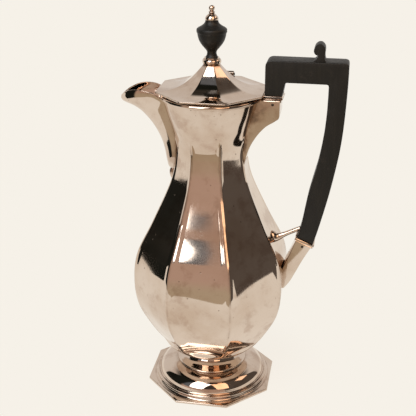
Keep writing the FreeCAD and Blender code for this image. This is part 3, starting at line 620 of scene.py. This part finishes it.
def make_spout_drop():
    bm = bmesh.new()
    bmesh.ops.create_uvsphere(bm, u_segments=32, v_segments=20, radius=1.0)
    for vert in bm.verts:
        high = vert.co.z > 0
        vert.co.z *= 3.2 if high else 5.2
        narrow = 1.0 if high else 1.0 - 0.55 * min(1.0, -vert.co.z / 5.2) ** 2
        vert.co.x *= 2.0 * narrow
        vert.co.y *= 1.9 * narrow
        vert.co.x += 0.12 * vert.co.z
        vert.co = (vert.co + Vector((-24.0, 0.0, 141.5))) * MM
    return finish_piece("spout_drop", bm, "silver", "pot", ["spout_drop"], lambda p: 0.75)


make_spout_drop()

# %% [markdown]
# The handle is sawn from one block of ebony as a flat loop, and its edges are rounded with a file.
# So it is drawn as an outline, extruded to its thickness, and beveled, which keeps the flat sides
# truly flat, as a curve with a bevel would not.

# %% The ebony loop
HANDLE_HALF = 6.3
HANDLE_LINE = outline(
    ((31.4, 192.7), (31.4, 209.7)),
    ((31.4, 209.7), (31.7, 211.2), (32.45, 212.25), (33.5, 212.9), (34.9, 213.2)),
    ((34.9, 213.2), (75.6, 213.2)),
    ((75.6, 213.2), (76.9, 212.8), (77.6, 212.0), (77.8, 210.8)),
    ((77.8, 210.8), (77.8, 200.0), (77.5, 189.0), (77.0, 178.0), (76.1, 167.0), (74.5, 155.0),
     (70.9, 135.0), (66.0, 113.5), (62.8, 101.5)),
    ((62.8, 101.5), (53.4, 105.5)),
    ((53.4, 105.5), (55.3, 113.0), (58.6, 133.0), (63.4, 154.0), (65.8, 170.0), (66.9, 183.0),
     (67.2, 194.0)),
    ((67.2, 194.0), (67.2, 199.6)),
    ((67.2, 199.6), (66.8, 200.5), (66.0, 200.8)),
    ((66.0, 200.8), (43.8, 200.8)),
    ((43.8, 200.8), (43.0, 200.5), (42.6, 199.7)),
    ((42.6, 199.7), (41.3, 192.7)),
)


def sawn(line, half):
    """An outline of (x, z) in mm, sawn from a board that is two halves thick."""
    bm = bmesh.new()
    spots = line[:-1] if (line[0] - line[-1]).length < 1e-6 else line
    verts = [bm.verts.new((p.x * MM, -half * MM, p.y * MM)) for p in spots]
    face = bm.faces.new(verts)
    made = bmesh.ops.extrude_face_region(bm, geom=[face])
    far = [g for g in made["geom"] if isinstance(g, bmesh.types.BMVert)]
    bmesh.ops.translate(bm, verts=far, vec=(0, 2 * half * MM, 0))
    bmesh.ops.recalc_face_normals(bm, faces=bm.faces)
    return bm


def round_board(bm, width, segments, wanted=None):
    """Rounds the two outlines of a sawn piece."""
    rims = [
        e for e in bm.edges
        if len(e.link_faces) == 2 and any(abs(f.normal.y) > 0.9 for f in e.link_faces)
        and not all(abs(f.normal.y) > 0.9 for f in e.link_faces) and (not wanted or wanted(e))
    ]
    bmesh.ops.bevel(
        bm, geom=rims, offset=width * MM, affect="EDGES", segments=segments, profile=0.5,
        material=-1, clamp_overlap=True,
    )


def make_handle():
    bm = sawn(HANDLE_LINE, HANDLE_HALF)
    round_board(bm, 1.3, 4)
    return finish_piece("handle", bm, "ebony", "pot", ["handle"], crisp=40)


make_handle()

# %% [markdown]
# A small scroll is carved on top for the thumb. It is narrower than the loop, so it is sawn and
# rounded as a board of its own that runs a little into the loop.

# %% The thumb scroll


def make_thumb_scroll():
    line = outline(
        ((57.0, 212.6), (58.6, 213.8), (60.0, 215.2), (60.5, 216.6)),
        ((60.5, 216.6), (59.2, 216.9), (58.2, 218.0), (57.95, 219.6), (58.6, 221.6), (60.4, 223.0),
         (62.4, 222.8), (63.9, 221.2), (64.3, 219.2), (64.1, 216.5), (64.4, 214.2), (65.6, 212.6)),
        ((65.6, 212.6), (57.0, 212.6)),
    )
    bm = sawn(line, 4.2)
    round_board(bm, 0.9, 3)
    return finish_piece("thumb_scroll", bm, "ebony", "pot", [], crisp=40)


make_thumb_scroll()

# %% [markdown]
# Each end of the ebony sits in a silver socket: a tapered box folded from sheet and soldered to
# the body. Seen from the side it is a flat outline, so it is sawn from a board like the handle,
# and its edges are only just broken, as folded sheet is.

# %% Sockets


def socket_tarnish(wall_line):
    """More tarnish where the socket meets the body; wall_line(z) is the body's x there."""
    return lambda p: min(1.0, math.exp(-max(p.x - wall_line(p.z), 0.0) / 1.3))


def make_upper_socket():
    line = outline(
        ((26.4, 189.7), (40.4, 189.7)),
        ((40.4, 189.7), (40.35, 181.2)),
        ((40.35, 181.2), (39.8, 179.9)),
        ((39.8, 179.9), (36.9, 177.8), (32.7, 175.0), (28.5, 170.3), (25.2, 165.1), (22.9, 160.0),
         (21.4, 154.2), (20.6, 150.6)),
        ((20.6, 150.6), (20.2, 151.5)),
        ((20.2, 151.5), (19.9, 158.0), (20.3, 166.0), (22.0, 176.0), (24.4, 184.0), (26.4, 189.7)),
    )
    bm = sawn(line, 8.1)
    round_board(bm, 0.45, 3, lambda e: max(v.co.x for v in e.verts) > 22.0 * MM)
    wall = lambda z: 20.3 + max(0.0, z - 165.0) * 0.21
    return finish_piece(
        "upper_socket", bm, "silver", "pot", ["upper_socket"], socket_tarnish(wall), crisp=40
    )


def make_lower_socket():
    line = outline(
        ((53.1, 104.7), (62.5, 100.7)),
        ((62.5, 100.7), (60.9, 98.0), (56.8, 90.2), (53.1, 82.2), (49.9, 75.6), (46.4, 70.5)),
        ((46.4, 70.5), (44.8, 70.5)),
        ((44.8, 70.5), (45.0, 76.0), (44.6, 82.0)),
        ((44.6, 82.0), (45.4, 84.8), (47.6, 90.4), (50.3, 97.2), (53.1, 104.7)),
    )
    bm = sawn(line, 6.6)
    round_board(bm, 0.45, 3)
    return finish_piece(
        "lower_socket", bm, "silver", "pot", ["lower_socket"], socket_tarnish(lambda z: 44.0), crisp=40
    )


make_upper_socket()
make_lower_socket()

# %% [markdown]
# A moulded lip hides the joint between silver and wood. It is a strip of small steps mitred round
# the socket's mouth, so a rectangle is extruded level by level, and each level is drawn in or out.

# %% Socket lips


def stacked(levels, corner=0.8):
    """A moulding of rectangular levels: (low x, high x, half depth, height), lofted upwards."""
    bm = bmesh.new()
    low_x, high_x, half, height = levels[0]
    bmesh.ops.create_grid(bm, x_segments=1, y_segments=1, size=0.5)
    face = bm.faces[:]

    def fit(verts, level):
        x0, x1, y1, z = level
        for vert in verts:
            vert.co = Vector((x1 if vert.co.x > 0 else x0, y1 if vert.co.y > 0 else -y1, z))

    fit(bm.verts, levels[0])
    middle = Vector(((low_x + high_x) / 2, 0, 0))
    for level in levels[1:]:
        made = bmesh.ops.extrude_face_region(bm, geom=face)
        verts = [g for g in made["geom"] if isinstance(g, bmesh.types.BMVert)]
        face = [g for g in made["geom"] if isinstance(g, bmesh.types.BMFace)]
        bmesh.ops.translate(bm, verts=verts, vec=-middle)
        fit(verts, level)
    uprights = [e for e in bm.edges if abs(e.verts[0].co.z - e.verts[1].co.z) > 0.05]
    bmesh.ops.bevel(
        bm, geom=uprights, offset=corner, affect="EDGES", segments=4, profile=0.5, material=-1,
        clamp_overlap=True,
    )
    bmesh.ops.recalc_face_normals(bm, faces=bm.faces)
    bmesh.ops.scale(bm, verts=bm.verts, vec=(MM, MM, MM))
    return bm


def make_upper_lip():
    bm = stacked((
        (28.4, 41.0, 8.7, 189.7), (28.4, 41.2, 8.9, 190.0), (28.4, 41.2, 8.9, 190.5),
        (29.0, 40.9, 8.6, 190.8), (30.4, 42.0, 7.0, 191.15), (30.7, 41.7, 6.7, 191.6),
        (31.0, 41.5, 6.5, 192.2), (31.1, 41.5, 6.45, 192.75),
    ), corner=0.5)
    # The step in the moulding is tarnished; the band along the lip's lower edge is seam tarnish and painted shade
    # under the lip.
    return finish_piece(
        "upper_socket_lip", bm, "silver", "pot", ["upper_socket_lip"],
        lambda p: near(p.z, 191.0, 0.4) + 0.8 * near(p.z, 189.7, 0.3),
    )


LOWER_TILT = math.radians(23.0)
LOWER_MIDDLE = Vector((58.1, 0.0, 103.5))


def make_lower_lip():
    bm = stacked((
        (-6.0, 6.0, 7.2, -1.9), (-5.7, 5.7, 6.9, -1.5), (-5.7, 5.7, 6.9, -1.1), (-6.2, 6.2, 7.4, -0.8),
        (-6.2, 6.2, 7.4, -0.2), (-5.9, 5.9, 7.1, 0.05), (-5.4, 5.4, 6.6, 0.1),
    ), corner=0.6)
    bmesh.ops.rotate(bm, verts=bm.verts, cent=(0, 0, 0), matrix=Matrix.Rotation(LOWER_TILT, 3, "Y"))
    bmesh.ops.translate(bm, verts=bm.verts, vec=LOWER_MIDDLE * MM)
    smooth_corners(bm, 0.1, angle=40.0)
    return finish_piece("lower_socket_lip", bm, "silver", "pot", ["lower_socket_lip"], lambda p: 0.35)


make_upper_lip()
make_lower_lip()

# %% [markdown]
# A steel pin through the box and the tenon holds each end of the handle. It is a length of wire
# with its ends hammered over, so it is spun upright and then laid on its side.

# %% Cross pins


def make_rivet(name, x, z, half):
    """A pin across the socket, its two ends hammered into low domes."""
    line = outline(
        ((0.0, -half - 0.25), (0.4, -half - 0.22), (0.8, -half)),
        ((0.8, -half), (0.8, half)),
        ((0.8, half), (0.4, half + 0.22), (0.0, half + 0.25)),
    )
    bm = spun(line, 24)
    bmesh.ops.rotate(bm, verts=bm.verts, cent=(0, 0, 0), matrix=Matrix.Rotation(math.pi / 2, 3, "X"))
    bmesh.ops.translate(bm, verts=bm.verts, vec=(x * MM, 0, z * MM))
    return finish_piece(name, bm, "steel", "pot", [name])


make_rivet("upper_handle_pin", 36.35, 188.3, 8.12)
make_rivet("lower_handle_pin", 56.57, 99.9, 6.62)


# %% [markdown]
# A slim brace joins the body to the grip, thicker where it is soldered on. A curve with a bevel
# could make it too. A grid rolled round a line is used, because its thickness can change along
# the line and its ends are closed.

# %% The brace


def drawn_along(line, thickness):
    """A rod drawn along a line in the XZ plane: a grid rolled round it. thickness(k) is in mm."""
    bm = bmesh.new()
    last = len(line) - 1
    bmesh.ops.create_grid(bm, x_segments=20, y_segments=last, size=0.5)
    for vert in bm.verts:
        k = round((vert.co.y + 0.5) * last)
        angle = 2 * math.pi * (vert.co.x + 0.5)
        way = (line[min(k + 1, last)] - line[max(k - 1, 0)]).normalized()
        out = math.cos(angle) * thickness(k) / 2
        vert.co = Vector((
            line[k].x - way.z * out, math.sin(angle) * thickness(k) / 2, line[k].z + way.x * out
        )) * MM
    bmesh.ops.remove_doubles(bm, verts=bm.verts, dist=1e-6)
    bmesh.ops.holes_fill(bm, edges=[e for e in bm.edges if e.is_boundary], sides=0)
    return bm


def make_brace():
    line = smooth_line((
        (37.4, 0, 102.6), (40.8, 0, 102.4), (44.6, 0, 104.2), (48.4, 0, 106.2), (54.6, 0, 109.3)
    ), 6)
    bm = drawn_along(line, lambda k: 2.8 + 4.6 * math.exp(-((k / 8.0) ** 2)))
    return finish_piece("handle_brace", bm, "silver", "pot", ["handle_brace"])


make_brace()

# %% [markdown]
# The lid is an octagonal plate that sweeps up to a hollow eight-sided spire. It is the same kind
# of raised work as the body, so it is spun and pulled in to panels in the same way. Its outline
# goes round both faces of the sheet, which makes it a closed piece with a hollow underside.

# %% The lid
LID_RADIUS = 33.4


# Tarnish round the foot of the finial; the band round the plate's edge is painted shade along and under the edge.
def lid_tarnish_and_shade(spot):
    edge = near(max(abs(spot.x), abs(spot.y), (abs(spot.x) + abs(spot.y)) * 0.7071), 30.9, 0.7)
    return min(1.0, 0.35 * edge + 0.9 * near(spot.z, 208.0, 0.7))


def make_lid_cover():
    line = outline(
        ((24.6, 193.15), (LID_RADIUS, 193.15)),
        ((LID_RADIUS, 193.15), (LID_RADIUS, 194.0)),
        ((LID_RADIUS, 194.0), (30.0, 194.08), (26.5, 194.4), (22.8, 195.1), (19.4, 196.3), (14.9, 198.8),
         (10.0, 203.0), (5.3, 208.0)),
        ((5.3, 208.0), (1.25, 208.0)),
        ((1.25, 208.0), (1.25, 206.95)),
        ((1.25, 206.95), (4.6, 206.95)),
        ((4.6, 206.95), (9.2, 202.2), (14.1, 198.0), (18.8, 195.5), (22.0, 194.4), (24.6, 193.9)),
        ((24.6, 193.9), (24.6, 193.15)),
    )
    bm = spun(line, SIDES * 12)
    bmesh.ops.rotate(
        bm, verts=bm.verts, cent=(0, 0, 0), matrix=Matrix.Rotation(PANEL_TURN / 2, 3, "Z")
    )
    make_panelled(bm, lambda height: 0.0)
    bmesh.ops.recalc_face_normals(bm, faces=bm.faces)
    soften_ridges(bm, 0.5, 193.0, 207.9, segments=3)
    rims = lambda e: all(math.hypot(v.co.x, v.co.y) > 30.0 * MM for v in e.verts)
    smooth_corners(bm, 0.18, angle=50.0, segments=3, wanted=rims)
    return finish_piece("lid_cover", bm, "silver", "lid", ["lid_cover"], lid_tarnish_and_shade, crisp=40)


make_lid_cover()

# %% [markdown]
# A turned ring, the bezel, is soldered under the lid and drops inside the mouth, so that the lid
# can't slide. Its section is an L, spun about the axis.

# %% The bezel


def make_lid_bezel():
    line = outline(
        ((25.0, 193.1), (25.0, 189.3)), ((25.0, 189.3), (25.2, 189.1)), ((25.2, 189.1), (25.8, 189.1)),
        ((25.8, 189.1), (26.0, 189.3)), ((26.0, 189.3), (26.0, 192.2)), ((26.0, 192.2), (28.3, 192.2)),
        ((28.3, 192.2), (28.4, 192.4)), ((28.4, 192.4), (28.4, 193.1)), ((28.4, 193.1), (25.0, 193.1)),
    )
    return finish_piece("lid_bezel", spun(line, 128), "silver", "lid", ["lid_bezel"], lambda p: 0.3)


make_lid_bezel()

# %% [markdown]
# The hinge has five knuckles rolled round one steel pin: three on the pot, two on the lid. Each
# is a short tube spun and laid along the joint's own axis, and a plate ties it to its side.

# %% The hinge
HINGE = next(j for j in frame["joints"] if j["name"] == "lid_hinge")
HINGE_Y, HINGE_Z = HINGE["pos_m"][1] / MM, HINGE["pos_m"][2] / MM
BARREL = 1.9
BARREL_LENGTH = 16.0
KNUCKLE = BARREL_LENGTH / 5


def add_knuckle(bm, index, bore):
    """One rolled knuckle: a chamfered tube, spun and laid along the hinge axis."""
    half = KNUCKLE / 2 - 0.075
    line = [Vector(p) for p in (
        (bore, -half), (BARREL - 0.2, -half), (BARREL, -half + 0.2), (BARREL, half - 0.2),
        (BARREL - 0.2, half), (bore, half), (bore, -half),
    )]
    tube = spun(line, 40)
    bmesh.ops.rotate(
        tube, verts=tube.verts, cent=(0, 0, 0), matrix=Matrix.Rotation(math.pi / 2, 3, "Y")
    )
    middle = -BARREL_LENGTH / 2 + KNUCKLE * (index + 0.5)
    bmesh.ops.translate(tube, verts=tube.verts, vec=Vector((middle, HINGE_Y, HINGE_Z)) * MM)
    merge_into(bm, tube)
    return middle, half


def merge_into(bm, other):
    mesh = bpy.data.meshes.new("merge")
    other.to_mesh(mesh)
    other.free()
    bm.from_mesh(mesh)
    bpy.data.meshes.remove(mesh)


def add_block(bm, low, high, soften=0.12):
    """A block of metal between two corners in mm, with its edges broken."""
    block = bmesh.new()
    bmesh.ops.create_cube(block, size=1.0)
    size = Vector(high) - Vector(low)
    bmesh.ops.scale(block, verts=block.verts, vec=size * MM)
    bmesh.ops.translate(block, verts=block.verts, vec=(Vector(high) + Vector(low)) / 2 * MM)
    smooth_corners(block, soften)
    merge_into(bm, block)


def make_lid_knuckles():
    for number, index in enumerate((1, 3), start=1):
        bm = bmesh.new()
        middle, half = add_knuckle(bm, index, 0.86)
        add_block(bm, (middle - half, 30.4, 193.2), (middle + half, HINGE_Y - 0.9, 193.95), 0.08)
        name = "lid_knuckle_%d" % number
        finish_piece(name, bm, "silver", "lid", [name], lambda p: 0.45)


def make_body_hinge():
    bm = bmesh.new()
    half_length = BARREL_LENGTH / 2
    for index in (0, 2, 4):
        middle, half = add_knuckle(bm, index, 0.82)
        add_block(bm, (middle - half, HINGE_Y - 0.9, 190.4), (middle + half, HINGE_Y + 0.85, 193.4), 0.08)
    add_block(bm, (-half_length, 28.0, 186.5), (half_length, HINGE_Y + 0.85, 191.8), 0.35)
    finish_piece("body_hinge", bm, "silver", "pot", ["body_hinge"], lambda p: 0.45)


make_lid_knuckles()
make_body_hinge()

# %% [markdown]
# The finial is turned in three parts on one bolt: a silver collar, an ebony urn and a silver cap
# with a ball. Each is spun from the line a turner would cut.

# %% The finial


def make_finial():
    collar = outline(
        ((1.25, 208.0), (4.75, 208.0)),
        ((4.75, 208.0), (4.85, 208.6)),
        ((4.85, 208.6), (5.35, 209.3), (5.5, 210.1), (5.3, 211.0), (4.8, 211.6)),
        ((4.8, 211.6), (4.4, 211.75)),
        ((4.4, 211.75), (4.33, 212.4)),
        ((4.33, 212.4), (1.25, 212.4)),
        ((1.25, 212.4), (1.25, 208.0)),
    )
    finish_piece(
        "finial_collar", spun(collar, 72), "silver", "lid", ["finial_collar"],
        lambda p: near(p.z, 208.2, 0.5) + near(p.z, 211.8, 0.4),
    )
    urn = outline(
        ((1.25, 212.4), (3.6, 212.4)),
        ((3.6, 212.4), (3.4, 212.9), (3.05, 213.5), (2.76, 214.5), (2.76, 215.4), (3.1, 216.4),
         (4.0, 217.5), (5.8, 219.7), (7.1, 221.8), (7.9, 224.1), (8.3, 226.3)),
        ((8.3, 226.3), (8.68, 226.9)),
        ((8.68, 226.9), (8.68, 228.3)),
        ((8.68, 228.3), (8.3, 228.8), (7.6, 229.3), (6.2, 230.1), (4.7, 231.2), (3.9, 232.3), (3.6, 233.4)),
        ((3.6, 233.4), (1.25, 233.4)),
        ((1.25, 233.4), (1.25, 212.4)),
    )
    bm = spun(urn, 96)
    smooth_corners(bm, 0.12, angle=35.0, segments=2)
    finish_piece("finial_urn", bm, "ebony", "lid", ["finial_urn"])
    cap = outline(
        ((0.0, 233.45), (3.5, 233.45)),
        ((3.5, 233.45), (3.75, 233.95), (3.72, 234.7), (3.25, 235.6), (2.5, 236.4), (1.7, 237.0)),
        ((1.7, 237.0), (1.38, 237.4)),
        ((1.38, 237.4), (1.8, 237.75), (1.8, 238.15), (1.4, 238.45)),
        ((1.4, 238.45), (1.1, 238.7)),
        ((1.1, 238.7), (1.6, 239.4), (1.75, 240.1), (1.62, 240.8), (1.2, 241.35), (0.65, 241.68),
         (0.0, 241.76)),
    )
    finish_piece(
        "finial_cap", spun(cap, 64), "silver", "lid", ["finial_cap"],
        lambda p: near(p.z, 237.4, 0.5) + near(p.z, 233.5, 0.3),
    )


make_finial()

# %% [markdown]
# The pot stands on a plain pale table. Polished silver mirrors it, and the table's edges are what
# draw the lines between light and dark round the belly, so the top has a real outline. Its own
# glow keeps it even, and it is only a little darker close to the foot, where a shadow falls.

# %% The table
PALE = "#F6F1E8"
CAMERA_TURN = math.radians(10.05)
TABLE_OUTLINE = (
    (-3000, 3000), (-3000, 345), (-330, 6), (-320, -150), (-150, -262), (-47, -242), (-16, -203),
    (40, -192), (150, -175), (215, -78), (345, -96), (3000, -430), (3000, 3000),
)


def level_way(azimuth):
    """A level direction. Azimuth 0 is the camera's side, positive to its right."""
    turn = math.radians(azimuth) + CAMERA_TURN
    return Vector((math.sin(turn), -math.cos(turn), 0.0))


def make_table():
    bm = bmesh.new()
    corners = [bm.verts.new((x * MM, y * MM, 0.0)) for x, y in TABLE_OUTLINE]
    top = bm.faces.new(corners)
    bm.normal_update()
    if top.normal.z < 0:
        bmesh.ops.reverse_faces(bm, faces=[top])
    bmesh.ops.triangulate(bm, faces=[top])
    mesh = bpy.data.meshes.new("table_top")
    bm.to_mesh(mesh)
    bm.free()
    material, tree, shader, place = new_material("Pale paper")
    away = add_node(tree, "VectorMath", {"operation": "LENGTH"}, i0=place).outputs["Value"]
    paper = ramp(tree, away, 92 * MM, 40 * MM)
    grey_paper = tuple(0.1 * c for c in sheen(PALE)[:3]) + (1.0,)
    shade = blend_colour(tree, paper, (0.0, 0.0, 0.0, 1.0), grey_paper)
    tree.links.new(shade, shader.inputs["Base Color"])
    shader.inputs["Roughness"].default_value = 0.9
    shader.inputs["Specular IOR Level"].default_value = 0.0
    shader.inputs["Emission Color"].default_value = sheen(PALE)
    glow = add_node(tree, "MapRange", {3: 1.0, 4: 0.93}, Value=paper).outputs[0]
    tree.links.new(glow, shader.inputs["Emission Strength"])
    mesh.materials.append(material)
    table = bpy.data.objects.new("table_top", mesh)
    bpy.context.scene.collection.objects.link(table)
    print("table:", len(mesh.polygons), "faces")


make_table()

# %% [markdown]
# The room is a plain studio: a pale wall behind, a warm floor in front of the table, a small grey
# card above it, and dimness at the sides. The air itself is pale where the camera looks past the
# pot, because a plain pale backdrop stands there.

# %% The room


def make_room():
    world = bpy.data.worlds.new("Studio")
    world.use_nodes = True
    tree = world.node_tree
    output = tree.nodes["World Output"]
    seen = tree.nodes["Background"]
    seen.inputs["Color"].default_value = sheen(PALE)
    way = add_node(tree, "TexCoord").outputs["Generated"]
    up = add_node(tree, "SeparateXYZ", Vector=way).outputs["Z"]
    flat = add_node(tree, "VectorMath", {"operation": "MULTIPLY", 1: (1, 1, 0)}, i0=way).outputs[0]
    level = add_node(tree, "VectorMath", {"operation": "NORMALIZE"}, i0=flat).outputs[0]

    def towards(azimuth):
        facing = add_node(
            tree, "VectorMath", {"operation": "DOT_PRODUCT", 1: level_way(azimuth)}, i0=level
        )
        return facing.outputs["Value"]

    wall = times(tree, ramp(tree, towards(180), 0.40, 0.46), ramp(tree, up, 0.82, 0.66))
    ahead = ramp(tree, towards(-20), 0.62, 0.74)
    soft = add_node(tree, "TexNoise", {"Scale": 2.6, "Detail": 3.0}, Vector=way).outputs[0]
    right = times(tree, towards(90), 0.35)
    dim = add_node(tree, "Math", {"operation": "ADD"}, i0=soft, i1=right).outputs[0]
    dark = blend_colour(tree, ramp(tree, dim, 0.2, 0.9), sheen("#1E201D"), sheen("#5E5650"))
    floor = blend_colour(tree, ramp(tree, up, -0.30, 0.05), sheen("#BFAF98"), sheen("#C4A898"))
    lit = blend_colour(tree, times(tree, ahead, ramp(tree, up, 0.56, 0.46)), dark, floor)
    card = times(tree, ramp(tree, up, 0.375, 0.385), ramp(tree, towards(-110), 0.0, 0.008))
    lit = blend_colour(tree, times(tree, card, ahead), lit, sheen("#6A7078"))
    lit = blend_colour(tree, wall, lit, sheen("#E4DED8"))
    reflected = add_node(tree, "Background", {"Strength": 1.0}, Color=lit)
    path = add_node(tree, "LightPath").outputs["Is Camera Ray"]
    mix = add_node(tree, "MixShader", None, i0=path, i1=reflected.outputs[0], i2=seen.outputs[0])
    tree.links.new(mix.outputs[0], output.inputs["Surface"])
    bpy.context.scene.world = world
    print("room:", len(tree.nodes), "nodes")


make_room()

# %% [markdown]
# Three soft boxes light the pot: a white one and a warm one in front, and a small one at the
# side. They are large and near, so their mirror images are broad patches with soft shadows.

# %% The soft boxes


def add_soft_box(name, azimuth, elevation, distance, width, height, power, colour):
    """A soft box aimed at the pot."""
    light = bpy.data.lights.new(name, "AREA")
    light.shape = "RECTANGLE"
    light.size, light.size_y = width, height
    light.energy = power
    light.color = sheen(colour)[:3]
    box = bpy.data.objects.new(name, light)
    rise = math.radians(elevation)
    way = level_way(azimuth) * math.cos(rise) + Vector((0, 0, math.sin(rise)))
    target = Vector((0, 0, 0.12))
    box.location = target + way * distance
    box.rotation_euler = way.to_track_quat("Z", "Y").to_euler()
    bpy.context.scene.collection.objects.link(box)
    print("%-16s %.2f x %.2f m, %.1f W" % (name, width, height, power))


add_soft_box("soft_box_white", -35.8, 46, 0.9, 0.45, 0.81, 5.0, "#FFFFFF")
add_soft_box("soft_box_warm", 25, 46, 0.9, 0.40, 0.80, 2.2, "#FFD3AC")
add_soft_box("soft_box_side", 94, 46, 0.9, 0.34, 0.26, 0.5, "#FFD8B8")

# %% [markdown]
# The camera stands a little above the lid and slightly to the handle's side of straight on, far
# enough away that the upright lines stay nearly parallel.

# %% The camera


def make_camera():
    data = bpy.data.cameras.new("camera")
    data.lens = 73.54
    data.sensor_width = 36.0
    data.shift_x = -0.0092
    data.shift_y = -0.0181
    data.clip_start = 0.02
    camera = bpy.data.objects.new("camera", data)
    place, target = Vector((0.0834, -0.4706, 0.3272)), Vector((0, 0, 0.12346))
    camera.location = place
    camera.rotation_euler = (place - target).to_track_quat("Z", "Y").to_euler()
    bpy.context.scene.collection.objects.link(camera)
    bpy.context.scene.camera = camera
    print("camera: %.0f mm lens, %.2f m away" % (data.lens, (place - target).length))


make_camera()
bpy.context.scene.view_settings.view_transform = "Standard"
